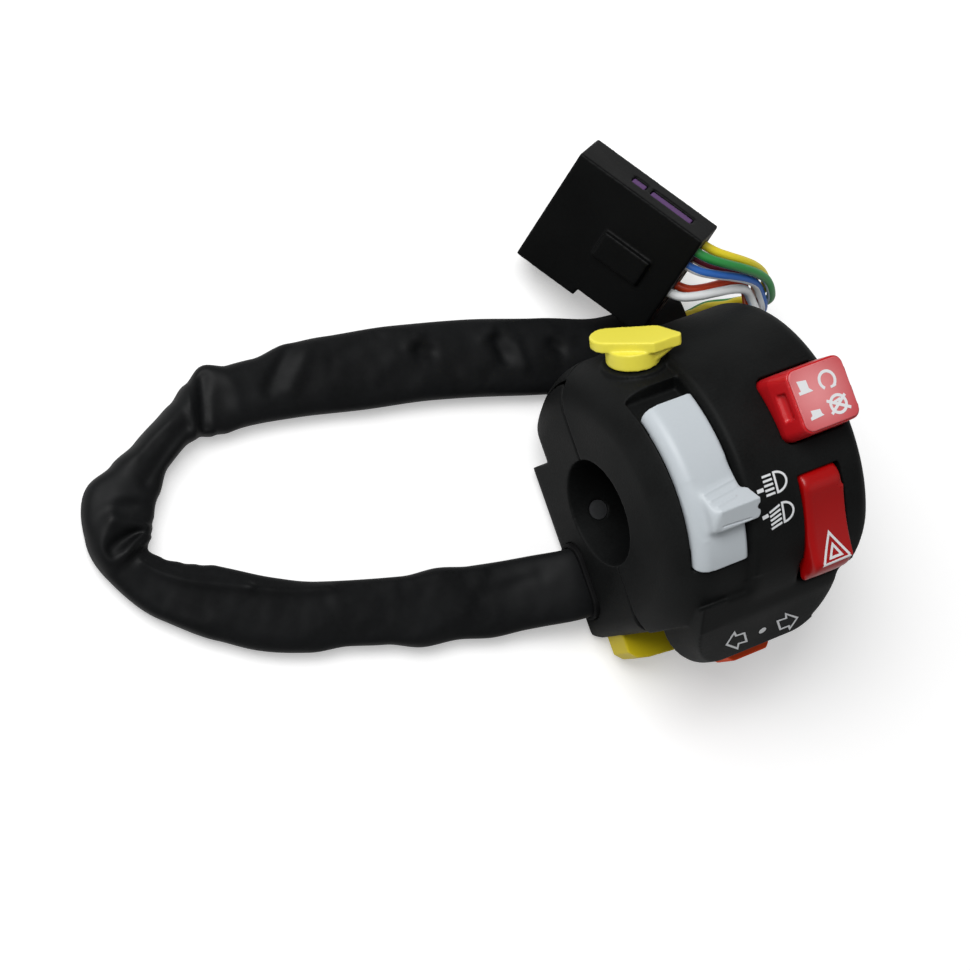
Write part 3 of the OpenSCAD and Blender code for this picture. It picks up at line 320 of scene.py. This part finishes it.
# %% Floor, sky and lamps
FLOOR = -24.02        # just under the lowest point of the part
PAGE_LIFT = 0.35      # what the camera alone sees on top of the lit floor
SKY_LEVEL = 0.24
MIDDLE = (0, 0.01, 0)

def material(name):
    mat = bpy.data.materials.new(name)
    mat.use_nodes = True
    return mat, mat.node_tree.nodes, mat.node_tree.links

bm = bmesh.new()
bmesh.ops.create_grid(bm, x_segments=1, y_segments=1, size=900)
bmesh.ops.translate(bm, vec=(0, 0, FLOOR), verts=bm.verts)
floor = new_piece("floor", bm)
mat, graph, links = material("white page")
page = graph["Principled BSDF"]
page.inputs["Base Color"].default_value = (0.86, 0.86, 0.86, 1)
page.inputs["Roughness"].default_value = 0.9
page.inputs["Specular IOR Level"].default_value = 0.0
glow = graph.new("ShaderNodeEmission")
glow.inputs["Color"].default_value = (1, 1, 1, 1)
ray = graph.new("ShaderNodeLightPath")
level = graph.new("ShaderNodeMath")
level.operation = "MULTIPLY"
level.inputs[1].default_value = PAGE_LIFT
links.new(ray.outputs["Is Camera Ray"], level.inputs[0])
links.new(level.outputs[0], glow.inputs["Strength"])
both = graph.new("ShaderNodeAddShader")
links.new(page.outputs[0], both.inputs[0])
links.new(glow.outputs[0], both.inputs[1])
links.new(both.outputs[0], graph["Material Output"].inputs["Surface"])
floor.data.materials.append(mat)

world = bpy.data.worlds.new("even sky")
bpy.context.scene.world = world
world.use_nodes = True
graph, links = world.node_tree.nodes, world.node_tree.links
sky = graph["Background"]
sky.inputs["Color"].default_value = (1, 1, 1, 1)
ray = graph.new("ShaderNodeLightPath")
seen = graph.new("ShaderNodeMath")
seen.operation = "MAXIMUM"
links.new(ray.outputs["Is Camera Ray"], seen.inputs[0])
links.new(ray.outputs["Is Transmission Ray"], seen.inputs[1])
strength = graph.new("ShaderNodeMapRange")
strength.inputs["To Min"].default_value = SKY_LEVEL
strength.inputs["To Max"].default_value = 1.0
links.new(seen.outputs[0], strength.inputs["Value"])
links.new(strength.outputs["Result"], sky.inputs["Strength"])

def lamp(name, place, aim, size, power):
    data = bpy.data.lights.new(name, "AREA")
    data.size = size
    data.energy = power
    obj = bpy.data.objects.new(name, data)
    bpy.context.collection.objects.link(obj)
    turn = (Vector(aim) - place).to_track_quat("-Z", "Y")
    obj.matrix_world = Matrix.Translation(place) @ turn.to_matrix().to_4x4()

lamp("large soft lamp", Vector((-0.35, 0.45, 0.75)), MIDDLE, size=0.6, power=8.2)
lamp("fill lamp", Vector((0.5, -0.3, 0.7)), MIDDLE, size=0.6, power=0.3)
bpy.context.scene.view_settings.view_transform = "Standard"
print("Stage ready")

# %% [markdown]
# Materials. Moulded plastic is never one flat colour: it has a fine grain, a slow mottle
# where the mould was polished unevenly, and a roughness that changes with both. One shader
# group makes the three, and every plastic places it with its own values.

# %% Shader group: moulded skin
def group(name, ins, outs):
    """Starts a shader node group. ins: (label, kind, value), outs: (label, kind)."""
    tree = bpy.data.node_groups.new(name, "ShaderNodeTree")
    for label, kind, value in ins:
        socket = tree.interface.new_socket(label, in_out="INPUT", socket_type=kind)
        if value is not None:
            socket.default_value = value
    for label, kind in outs:
        tree.interface.new_socket(label, in_out="OUTPUT", socket_type=kind)
    gin = tree.nodes.new("NodeGroupInput")
    gout = tree.nodes.new("NodeGroupOutput")
    return tree, tree.nodes, tree.links, gin, gout

def math_node(graph, links, kind, a, b):
    """One Math node. Each input is a number or another node's output."""
    node = graph.new("ShaderNodeMath")
    node.operation = kind
    for socket, value in zip(node.inputs, (a, b)):
        if isinstance(value, (int, float)):
            socket.default_value = value
        else:
            links.new(value, socket)
    return node.outputs[0]

FLOAT = "NodeSocketFloat"
COLOUR = "NodeSocketColor"
VECTOR = "NodeSocketVector"
GRAIN_HEIGHT = 0.00003      # metres
MOTTLE_PER_METRE = 90
skin, graph, links, gin, gout = group("moulded skin", [
    ("Colour", COLOUR, (0.5, 0.5, 0.5, 1)), ("Grain per metre", FLOAT, 2500.0),
    ("Grain depth", FLOAT, 0.2), ("Mottle", FLOAT, 0.15),
    ("Base roughness", FLOAT, 0.45), ("Roughness spread", FLOAT, 0.1)],
    [("Colour", COLOUR), ("Roughness", FLOAT), ("Normal", VECTOR)])
coords = graph.new("ShaderNodeTexCoord")
grain = graph.new("ShaderNodeTexNoise")
grain.inputs["Detail"].default_value = 3
links.new(coords.outputs["Object"], grain.inputs["Vector"])
links.new(gin.outputs["Grain per metre"], grain.inputs["Scale"])
slow = graph.new("ShaderNodeTexNoise")
slow.inputs["Scale"].default_value = MOTTLE_PER_METRE
slow.inputs["Detail"].default_value = 4
links.new(coords.outputs["Object"], slow.inputs["Vector"])
shade = math_node(graph, links, "SUBTRACT", slow.outputs["Fac"], 0.5)
fine = math_node(graph, links, "SUBTRACT", grain.outputs["Fac"], 0.5)
mixed = math_node(graph, links, "ADD", shade, math_node(graph, links, "MULTIPLY", fine, 0.6))
swing = math_node(graph, links, "MULTIPLY", mixed, gin.outputs["Mottle"])
tone = math_node(graph, links, "ADD", 1.0, swing)
tinted = graph.new("ShaderNodeVectorMath")
tinted.operation = "SCALE"
links.new(gin.outputs["Colour"], tinted.inputs[0])
links.new(tone, tinted.inputs["Scale"])
links.new(tinted.outputs["Vector"], gout.inputs["Colour"])
change = math_node(graph, links, "MULTIPLY", mixed, gin.outputs["Roughness spread"])
rough = math_node(graph, links, "ADD", gin.outputs["Base roughness"], change)
links.new(rough, gout.inputs["Roughness"])
bump = graph.new("ShaderNodeBump")
bump.inputs["Distance"].default_value = GRAIN_HEIGHT
links.new(grain.outputs["Fac"], bump.inputs["Height"])
links.new(gin.outputs["Grain depth"], bump.inputs["Strength"])
links.new(bump.outputs["Normal"], gout.inputs["Normal"])
print("Group", skin.name, "has", len(skin.nodes), "nodes")

# %% [markdown]
# Every plastic is one Principled shader with the group in front of it. Gloss is a plain
# number on the shader's own socket, because it is the same all over a piece. A metal is the
# same skin with its Metallic at one. A colour is written as six hex digits, as a paint
# program shows it, and turned into the linear light that the shader expects.

# %% Plastics and metals from the group
def placed(graph, tree, values):
    """Places a group in a material and sets its inputs."""
    use = graph.new("ShaderNodeGroup")
    use.node_tree = tree
    for label, value in values.items():
        use.inputs[label].default_value = value
    return use

def plastic(name, colour, roughness, grain_scale=2500.0, depth=0.2, mottle=0.15, spread=0.1,
            gloss=0.5):
    mat, graph, links = material(name)
    use = placed(graph, skin, {
        "Colour": (*colour, 1), "Grain per metre": grain_scale, "Grain depth": depth,
        "Mottle": mottle, "Base roughness": roughness, "Roughness spread": spread})
    use.name = "skin"
    shader = graph["Principled BSDF"]
    shader.inputs["Specular IOR Level"].default_value = gloss
    for a, b in (("Colour", "Base Color"), ("Roughness", "Roughness"), ("Normal", "Normal")):
        links.new(use.outputs[a], shader.inputs[b])
    return mat

def metal(name, colour, roughness, grain_scale=4000.0, depth=0.15):
    mat = plastic(name, colour, roughness, grain_scale, depth, 0.2, 0.15)
    mat.node_tree.nodes["Principled BSDF"].inputs["Metallic"].default_value = 1.0
    return mat

def rgb(text):
    return [(int(text[i:i + 2], 16) / 255) ** 2.2 for i in (0, 2, 4)]

def two_tones(mat, mask, off, on):
    """Feeds the skin with one colour where the mask is off and another where it is on."""
    graph, links = mat.node_tree.nodes, mat.node_tree.links
    mix = graph.new("ShaderNodeMix")
    mix.data_type = "RGBA"
    mix.inputs["A"].default_value = (*rgb(off), 1)
    mix.inputs["B"].default_value = (*rgb(on), 1)
    links.new(mask.outputs["Mask"], mix.inputs["Factor"])
    links.new(mix.outputs["Result"], graph["skin"].inputs["Colour"])

# %% [markdown]
# Wiring colours come in pairs: a base colour and a thin stripe that helps to trace a
# circuit. The stripe runs along the wire, so it is read from the UV map, whose second
# coordinate goes once round the insulation.

# %% Shader group: stripe along a wire
stripe, graph, links, gin, gout = group("stripe along", [
    ("Place", FLOAT, 0.25), ("Half width", FLOAT, 0.1)], [("Mask", FLOAT)])
uv = graph.new("ShaderNodeUVMap")
uv.uv_map = "UVMap"
apart = graph.new("ShaderNodeSeparateXYZ")
links.new(uv.outputs[0], apart.inputs[0])
around_wire = math_node(graph, links, "SUBTRACT", apart.outputs["Y"], gin.outputs["Place"])
wrapped = math_node(graph, links, "PINGPONG", around_wire, 0.5)
inside = math_node(graph, links, "LESS_THAN", wrapped, gin.outputs["Half width"])
links.new(inside, gout.inputs["Mask"])

def insulation(name, base, second, half_width, place=0.25):
    mat = plastic(name, rgb(base), 0.42, 900, 0.1)
    mask = placed(mat.node_tree.nodes, stripe, {"Place": place, "Half width": half_width})
    two_tones(mat, mask, base, second)
    return mat

print("Group", stripe.name, "has", len(stripe.nodes), "nodes")

# %% [markdown]
# The label on the kill button is a thin red plate. Its pink is a painted sheen, a painted reflection
# of the light that is palest near its upper left corner and fades towards the rim, so its material
# mixes two colours by the distance from a point.

# %% Shader group: painted sheen round a point
painted_sheen, graph, links, gin, gout = group("haze round a point", [
    ("Centre", VECTOR, None), ("Reach", FLOAT, 0.01)], [("Mask", FLOAT)])
coords = graph.new("ShaderNodeTexCoord")
away = graph.new("ShaderNodeVectorMath")
away.operation = "DISTANCE"
links.new(coords.outputs["Object"], away.inputs[0])
links.new(gin.outputs["Centre"], away.inputs[1])
soft_step = graph.new("ShaderNodeMapRange")
soft_step.interpolation_type = "SMOOTHSTEP"
soft_step.inputs["To Min"].default_value = 1.0
soft_step.inputs["To Max"].default_value = 0.0
links.new(away.outputs["Value"], soft_step.inputs["Value"])
links.new(gin.outputs["Reach"], soft_step.inputs["From Max"])
links.new(soft_step.outputs["Result"], gout.inputs["Mask"])

# A plastic in its own colour (far), with a painted sheen of the near colour round the centre
def sheen_painted_plastic(name, near, far, centre, reach):
    mat = plastic(name, rgb(near), 0.42, 1500, 0.08, 0.1, 0.1, 0.4)
    mask = placed(mat.node_tree.nodes, painted_sheen, {"Centre": centre, "Reach": reach})
    two_tones(mat, mask, far, near)
    return mat

print("Group", painted_sheen.name, "has", len(painted_sheen.nodes), "nodes")

# %% [markdown]
# One finish for each material slot of the CAD record. The shells are a dull, coarse
# grained black, the buttons a finer and glossier skin, and the sleeve a soft vinyl between
# the two. The works inside get their real materials as well: brass, steel and zinc.
# The numbers after a plastic's colour are roughness, grain per metre, grain depth, mottle,
# roughness spread and gloss. A wire has the half width of its stripe instead.

# %% Finishes by slot
finishes = {
    "shell_black": plastic("grained black shell", rgb("181919"), 0.6, 2200, 1.0, 1.8, 0.3, 0.12),
    "shell_black_rear": plastic("grained black rear shell", rgb("171818"), 0.6, 2200, 1.0, 1.8, 0.3,
                                0.12),
    "slider_white": plastic("white slider", rgb("bdc4c9"), 0.42, 1500, 0.08, 0.06, 0.1, 0.4),
    "inner_grey": plastic("grey acetal", rgb("3a3c40"), 0.45),
    "contact_board": plastic("paper resin board", rgb("5a4632"), 0.6),
    "button_red": plastic("red button", rgb("bd1c22"), 0.32, 1500, 0.1, 0.12, 0.12, 0.4),
    # The label's own red at the rim, with a painted pink sheen near its upper left corner
    "label_pink": sheen_painted_plastic("red label with painted pink sheen", "df8a8c", "bd3a40", spot(34, 9.5, 37), 0.0125),
    "plunger_white": plastic("white nylon", rgb("e6e4dc"), 0.5),
    "switch_black": plastic("black nylon", rgb("1b1c1d"), 0.5, 2500, 0.2, 0.2, 0.1, 0.25),
    "rocker_red": plastic("red rocker", rgb("a00a0c"), 0.3, 1500, 0.1, 0.12, 0.12, 0.35),
    "knob_orange": plastic("orange knob", rgb("e84a12"), 0.55, 1500, 0.1, 0.1, 0.1, 0.2),
    "button_yellow": plastic("yellow button", rgb("d9c31c"), 0.42, 1500, 0.1, 0.06, 0.1, 0.3),
    "lever_yellow": plastic("yellow lever", rgb("ece04c"), 0.42, 1500, 0.1, 0.06, 0.1),
    "grommet_rubber": plastic("grommet rubber", rgb("101011"), 0.7, 1800, 0.3, 0.3, 0.1, 0.15),
    "sleeve_black": plastic("black vinyl sleeve", rgb("141516"), 0.56, 900, 0.3, 1.2, 0.2, 0.17),
    "connector_black": plastic("connector nylon", rgb("0d0e0e"), 0.52, 2000, 0.6, 1.4, 0.2, 0.12),
    "lock_purple": plastic("purple lock", rgb("5a3a6c"), 0.5, gloss=0.3),
    "wire_yellow": insulation("yellow insulation", "e9d42c", "f4ea84", 0.02),
    "wire_green": insulation("green insulation", "2f8d45", "dfe9e2", 0.05),
    "wire_orange": insulation("orange insulation", "e04a26", "f09a80", 0.03),
    "wire_blue": insulation("blue insulation", "2f66b8", "eef2f6", 0.17),
    "wire_white": insulation("white insulation", "e4e7e8", "b9cde2", 0.1),
    "wire_brown": insulation("dark red insulation", "7a2234", "e9dcd2", 0.1),
    "contact_brass": metal("brass contacts", rgb("cfa75a"), 0.35),
    "insert_brass": metal("brass inserts", rgb("c9a24a"), 0.35),
    "screw_steel": metal("zinc plated steel", rgb("b9bcc0"), 0.35),
    "ball_steel": metal("polished steel", rgb("d2d5d9"), 0.15),
    "spring_steel": metal("spring wire", rgb("a9adb2"), 0.3),
    "arm_zinc": metal("cast zinc", rgb("8e9297"), 0.5),
}
slots = {s["node"]: s["material_slot"] for s in frame["record"]["subparts"]}

def dress(piece, slot):
    piece.data.materials.clear()
    piece.data.materials.append(finishes[slot])

for name, obj in cad_nodes.items():
    dress(obj, slots[name])
dress(sleeve, "sleeve_black")
for colour, piece in wires.items():
    dress(piece, "wire_" + colour)
print(len(finishes), "finishes on", len(cad_nodes), "nodes")

# %% [markdown]
# The moulded pieces. The real ones have no sharp edge: every corner that left the mould is
# rounded by a fraction of a millimetre. A copy of the CAD solid is merged, remeshed into
# small even cells and relaxed a few times, which rounds all edges at once. Where the real
# piece has a wide, soft blend, the cells of that region are relaxed many times more.

# %% Moulded copies of the CAD solids
def from_modifier(piece, kind, **values):
    """Gives a piece one modifier and keeps its result as the mesh."""
    modifier = piece.modifiers.new(kind.lower(), kind)
    for key, value in values.items():
        setattr(modifier, key, value)
    view = bpy.context.evaluated_depsgraph_get()
    piece.data = bpy.data.meshes.new_from_object(piece.evaluated_get(view))
    piece.modifiers.clear()

def relax_region(piece, inside, passes):
    bm = bmesh.new()
    bm.from_mesh(piece.data)
    region = [vert for vert in bm.verts if inside(vert.co)]
    for _ in range(passes):
        bmesh.ops.smooth_vert(bm, verts=region, factor=0.5,
                              use_axis_x=True, use_axis_y=True, use_axis_z=True)
    bm.to_mesh(piece.data)
    bm.free()

def moulded(node, name, body, cell, relax, keep, blends):
    """A rounded copy of a CAD node. cell: millimetres, relax: passes, keep: share of faces."""
    bm = bmesh.new()
    bm.from_mesh(cad_nodes[node].data)
    bmesh.ops.scale(bm, vec=(1000,) * 3, verts=bm.verts)
    bmesh.ops.remove_doubles(bm, verts=bm.verts, dist=0.002)
    mesh = bpy.data.meshes.new(name)
    bm.to_mesh(mesh)
    bm.free()
    piece = bpy.data.objects.new(name, mesh)
    bpy.context.collection.objects.link(piece)
    from_modifier(piece, "REMESH", mode="VOXEL", voxel_size=cell)
    from_modifier(piece, "SMOOTH", factor=0.5, iterations=relax)
    for inside, passes in blends:
        relax_region(piece, inside, passes)
    if keep < 1:
        from_modifier(piece, "DECIMATE", ratio=keep)
    piece.data.transform(Matrix.Scale(0.001, 4))
    piece.data.name = name
    for face in piece.data.polygons:
        face.use_smooth = True
    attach(piece, body)
    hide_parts(node)
    dress(piece, slots[node])
    print(name, len(piece.data.polygons), "faces")
    return piece

# %% [markdown]
# Some regions need a wider blend: the foot, which flows into the drum without a crease, the
# upper end and left flank of the rocker, which are rounded to be pushed by a thumb, and the
# left ramp and right shoulder of the slider's lug, which swell softly out of the band.
# Each region is a test on a point in millimetres. The rocker's is written in its own
# upright frame, because it rests tipped about its pin.

# %% Regions with a wider blend
ROCKER_X = 33
ROCKER_ARM = 23.5                     # from the bar's axis to the rocker's pin
ROCKER_LEAN = math.radians(33)        # of that line, from straight up
ROCKER_REST = math.radians(21)        # how far the rocker is tipped at rest
rocker_pivot = Vector((ROCKER_X - HALF, -ROCKER_ARM * math.sin(ROCKER_LEAN),
                       ROCKER_ARM * math.cos(ROCKER_LEAN)))

def foot_blend(co):
    return 10.5 < co.x + HALF < 41 and -34.5 < co.y < -21 and co.z > 4

def rocker_soft(co):
    p = Matrix.Rotation(-ROCKER_REST, 3, "X") @ (co - rocker_pivot)
    return p.z > 4.5 and (p.y > 6.5 or p.x < -3.0 or p.y < -8.5)

def lug_ramp(co):
    return 3 < co.x + HALF < 8.2 and -10.5 < co.y < 1.5 and co.z > 28

def lug_shoulder(co):
    return 13.2 < co.x + HALF < 18 and -3.5 < co.y < 3.5 and co.z > 27

def band_corner(co):
    return co.x + HALF < 7 and co.z > 20 and (co.y > 12 or co.y < -11)

# %% The moulded pieces
# Node, piece, body, cell, relaxing passes, share of faces kept, regions with their passes
castings = [
    ("front_shell", "front_shell_moulded", "housing", 0.3, 5, 0.4, [(foot_blend, 60)]),
    ("rear_shell", "rear_shell_moulded", "housing", 0.3, 5, 0.4, []),
    ("headlight_slider", "slider_moulded", "headlight_switch", 0.16, 6, 1.0,
     [(lug_ramp, 90), (lug_shoulder, 60), (band_corner, 20)]),
    ("kill_button", "kill_button_moulded", "kill_switch", 0.2, 8, 1.0, []),
    ("kill_label", "kill_label_moulded", "kill_switch", 0.12, 2, 1.0, []),
    ("hazard_rocker", "rocker_moulded", "hazard_switch", 0.2, 6, 1.0, [(rocker_soft, 120)]),
    ("turn_knob", "turn_knob_moulded", "turn_switch", 0.2, 8, 1.0, []),
    ("horn_button", "horn_button_moulded", "horn", 0.2, 8, 1.0, []),
    ("choke_lever", "choke_lever_moulded", "choke", 0.2, 12, 1.0, []),
    ("connector_housing", "connector_moulded", "housing", 0.25, 14, 1.0, []),
    ("connector_lock", "connector_lock_moulded", "housing", 0.2, 2, 1.0, []),
    ("harness_grommet", "grommet_moulded", "housing", 0.2, 3, 1.0, [])]
skins = {casting[0]: moulded(*casting) for casting in castings}

# %% [markdown]
# Fine relief on the slider: three thin ribs across the slope where the thumb pushes, and
# a shallow groove under its nose. Each line pushes the nearby skin in or out along its
# normal, with a bell-shaped fall-off. A real rib is cut in the mould as a soft ridge too,
# so pushing the skin says it better than adding a bar on top.

# %% Slider ribs
def carve(piece, lines, applies):
    """lines: (from, to, width, height). applies(point, normal) says which skin takes part."""
    verts = piece.data.vertices
    ways = [vert.normal.copy() for vert in verts]
    for vert, way in zip(verts, ways):
        co = vert.co * 1000
        if applies(co, way):
            x, y = co.x + HALF, co.y
            push = sum(h * bell(near_line(x, y, a, b), w) for a, b, w, h in lines)
            vert.co = (co + way * push) / 1000

# The first three are the ribs, and the last is the groove under the nose
ribs = [((7.2, -1.9), (14.6, -1.0), 0.25, 0.15), ((7.6, -3.4), (14.2, -2.6), 0.25, 0.15),
        ((8.2, -4.8), (12.9, -4.2), 0.25, 0.15), ((8.6, -8.9), (15.0, -9.3), 0.14, -0.2)]
carve(skins["headlight_slider"], ribs, lambda co, way: co.z > 26 and way.z > 0.3)
print("Slider has", len(ribs), "lines carved")

# %% [markdown]
# The printed marks are the generic ones that every rider knows: two headlamp beams, run and
# off, two arrows and the hazard triangle. A mark is drawn flat as a ribbon of even width.
# Then each of its points is dropped on the moulded skin along a ray, so the print follows
# the skin like a real pad print, 0.05 mm proud of it.

# %% Drawing ribbons and dropping them on a skin
from mathutils.bvhtree import BVHTree

finishes["print_white"] = plastic("white print", rgb("dfe1e3"), 0.55, 3000, 0.1, 0.1, 0.1, 0.3)

PROUD = 0.05          # print above the skin
SUNK = 0.04           # its lower side, just inside the skin
LAYER = 0.008         # from one ribbon to the next, so that crossings don't flicker
LONG_EDGE = 0.7       # longer edges are cut, so that the print can follow the skin
MISS_DROP = 8         # how far a point falls if its ray meets no skin

def ribbon(bm, points, width, closed, layer):
    """A band of even width along some points, with its corners mitred."""
    pts = [Vector((x, y, layer)) for x, y in points]
    steps = []
    for i, p in enumerate(pts):
        a = pts[i - 1] if closed or i else None
        b = pts[(i + 1) % len(pts)] if closed or i + 1 < len(pts) else None
        before = (p - a).normalized() if a is not None else (b - p).normalized()
        after = (b - p).normalized() if b is not None else before
        side = (before + after).normalized().cross(Vector((0, 0, 1)))
        square = before.cross(Vector((0, 0, 1)))
        steps.append(side * width / 2 / max(0.35, side.dot(square)))
    row = [bm.verts.new(p - steps[i]) for i, p in enumerate(pts)]
    pairs = list(zip(row, row[1:] + row[:1])) if closed else list(zip(row, row[1:]))
    out = bmesh.ops.extrude_edge_only(bm, edges=[bm.edges.new(pair) for pair in pairs])["geom"]
    for vert in [g for g in out if isinstance(g, bmesh.types.BMVert)]:
        i = min(range(len(row)), key=lambda k: (row[k].co - vert.co).length)
        vert.co += 2 * steps[i]

def filled(bm, points):
    """A flat face inside a closed outline."""
    corners = [bm.verts.new((x, y, 0)) for x, y in points]
    edges = [bm.edges.new(pair) for pair in zip(corners, corners[1:] + corners[:1])]
    bmesh.ops.triangle_fill(bm, edges=edges, use_beauty=True)

def printed(name, carrier, body, place, ribbons=(), solids=()):
    """ribbons: (points, width, closed). place(u, v) gives a point over the skin and the way out."""
    bm = bmesh.new()
    for count, (points, width, closed) in enumerate(ribbons):
        ribbon(bm, points, width, closed, LAYER * count)
    for points in solids:
        filled(bm, points)
    for _ in range(2):
        long_edges = [e for e in bm.edges if e.calc_length() > LONG_EDGE]
        bmesh.ops.subdivide_edges(bm, edges=long_edges, cuts=2, use_grid_fill=True)
    flat = bm.faces[:] + bm.edges[:] + bm.verts[:]
    made = bmesh.ops.extrude_face_region(bm, geom=flat, use_keep_orig=True)["geom"]
    upper = {g for g in made if isinstance(g, bmesh.types.BMVert)}
    skin_tree = BVHTree.FromPolygons([v.co for v in carrier.data.vertices],
                                     [p.vertices for p in carrier.data.polygons])
    missed = 0
    for vert in bm.verts:
        over, way = place(vert.co.x, vert.co.y)
        hit = skin_tree.ray_cast(over / 1000, -way)[0]
        missed += hit is None
        ground = hit * 1000 if hit else over - MISS_DROP * way
        vert.co = ground + way * ((PROUD if vert in upper else -SUNK) + vert.co.z)
    bmesh.ops.recalc_face_normals(bm, faces=bm.faces)
    piece = new_piece(name, bm, smooth=False)
    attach(piece, body)
    dress(piece, "print_white")
    print(name, len(piece.data.polygons), "faces,", missed, "points missed")

def arc(x, y, rx, ry, start, end, count=18):
    """Points on an ellipse from one angle to another, in degrees."""
    turns = [math.radians(start + (end - start) * k / count) for k in range(count + 1)]
    return [(x + rx * math.cos(t), y + ry * math.sin(t)) for t in turns]

# %% [markdown]
# The two headlamp marks lie on the drum, so one coordinate runs along the bar and the other
# is the distance round the drum. Each mark is a D shaped lamp, the tick that points at the
# slider's nose and five beams: level for high beam and slanted for low beam.

# %% Headlamp marks on the drum
DRUM_RADIUS = 31
OVER_DRUM = 36        # the rays start here
BEAMS = 5

def on_drum(x, run):
    way = Vector((0, math.sin(run / DRUM_RADIUS), math.cos(run / DRUM_RADIUS)))
    return Vector((x - HALF, 0, 0)) + OVER_DRUM * way, way

high = [(arc(22.95, -4.6, 2.45, 2.0, 90, -90), 0.45, True),
        ([(18.4, -5.1), (19.9, -5.1)], 0.75, False)]
high += [([(20.2, -2.75 - 0.93 * k), (22.3, -2.75 - 0.93 * k)], 0.45, False) for k in range(BEAMS)]
printed("mark_high_beam", skins["front_shell"], "housing", on_drum, high)
low = [(arc(23.3, -10.9, 2.35, 2.0, 90, -90), 0.45, True),
       ([(18.4, -10.5), (19.8, -10.35)], 0.75, False)]
low += [([(20.15, -9.95 - 0.86 * k), (22.7, -9.1 - 0.93 * k)], 0.42, False) for k in range(BEAMS)]
printed("mark_low_beam", skins["front_shell"], "housing", on_drum, low)

# %% [markdown]
# The kill button's label has four generic marks: an open ring for run, a crossed ring for
# off, and beside each a small picture of the button standing out or pushed in. The rings and
# the cross are ribbons, and the two pictures are filled outlines.

# %% Run and off marks on the kill button
KILL_TILT = math.radians(3)
KILL_FOOT = Vector((35.5 - HALF, 8.2, 31))      # where the button's axis leaves the block
KILL_HEIGHT = 6.6                               # from there to the label
OVER_LABEL = 3

def on_kill(u, v):
    way = Vector((0, math.sin(KILL_TILT), math.cos(KILL_TILT)))
    middle = KILL_FOOT + KILL_HEIGHT * way
    along = Vector((1, 0, 0))
    return middle + along * u + way.cross(along) * v + OVER_LABEL * way, way

button_out = [(-4.93, 3.99), (-2.8, 3.68), (-2.77, 2.05), (-2.03, 1.24), (-5.23, 1.23),
              (-5.28, 1.85), (-4.7, 1.9)]
button_in = [(-4.19, -2.21), (-2.07, -2.46), (-1.96, -3.37), (-1.58, -3.83), (-4.72, -4.05),
             (-4.7, -3.5), (-4.17, -3.22)]
printed("mark_run_off", skins["kill_label"], "kill_switch", on_kill, [
    (arc(1.69, 2.3, 1.75, 1.75, -60, 232, 26), 0.6, False),
    ([(1.9, 0.75), (3.2, 0.95)], 0.5, False),
    (arc(2.23, -2.78, 1.75, 1.75, 0, 350, 28), 0.6, True),
    ([(-0.09, -1.52), (4.63, -4.23)], 0.6, False),
    ([(4.28, -1.41), (0.08, -4.27)], 0.6, False),
    ([(1.5, -2.2), (3.0, -1.9)], 0.5, False)],
    [button_out, button_in])

# %% [markdown]
# On the sloping face of the foot, two outlined arrows tell which way the knob below them
# slides, with a dot between them for the middle. One coordinate runs along the bar, the
# other up the slope from its lower edge.

# %% Arrows and dot on the foot
FOOT_EDGE_Y = -36
FOOT_EDGE_Z = 3.625
FOOT_SLOPE = Vector((0, 7.5, 10.875)).normalized()
OVER_FOOT = 4

def on_foot(x, height):
    way = Vector((1, 0, 0)).cross(FOOT_SLOPE)
    edge = Vector((x - HALF, FOOT_EDGE_Y, FOOT_EDGE_Z))
    return edge + height * FOOT_SLOPE + OVER_FOOT * way, way

left_arrow = [(13.22, 5.48), (14.22, 8.96), (15.0, 7.45), (17.08, 7.18), (18.58, 3.54),
              (16.53, 3.94), (16.73, 2.19)]
right_arrow = [(25.39, 6.54), (27.08, 2.79), (29.2, 2.76), (29.81, 1.49), (30.79, 4.67),
               (27.0, 8.06), (27.59, 6.31)]
dot = arc(22.06, 5.22, 0.85, 0.85, 0, 345, 23)
printed("mark_turn", skins["front_shell"], "housing", on_foot,
        [(left_arrow, 0.45, True), (right_arrow, 0.45, True)], [dot])

# %% [markdown]
# The hazard mark is a triangle in a triangle, low on the rocker where a thumb doesn't rub
# it. It is drawn in the rocker's own upright frame, whose middle is the pin.

# %% Triangle on the rocker
OVER_ROCKER = 12

def on_rocker(u, v):
    turned = Matrix.Rotation(ROCKER_REST, 3, "X")
    way = turned @ Vector((0, 0, 1))
    return rocker_pivot + turned @ Vector((u, v, 0)) + OVER_ROCKER * way, way

outer = [(0.0, -2.3), (3.9, -8.3), (-2.5, -8.4)]
inner = [(0.35, -4.9), (1.9, -7.4), (-0.75, -7.4)]
printed("mark_hazard", skins["hazard_rocker"], "hazard_switch", on_rocker,
        [(outer, 0.5, True), (inner, 0.5, True)])
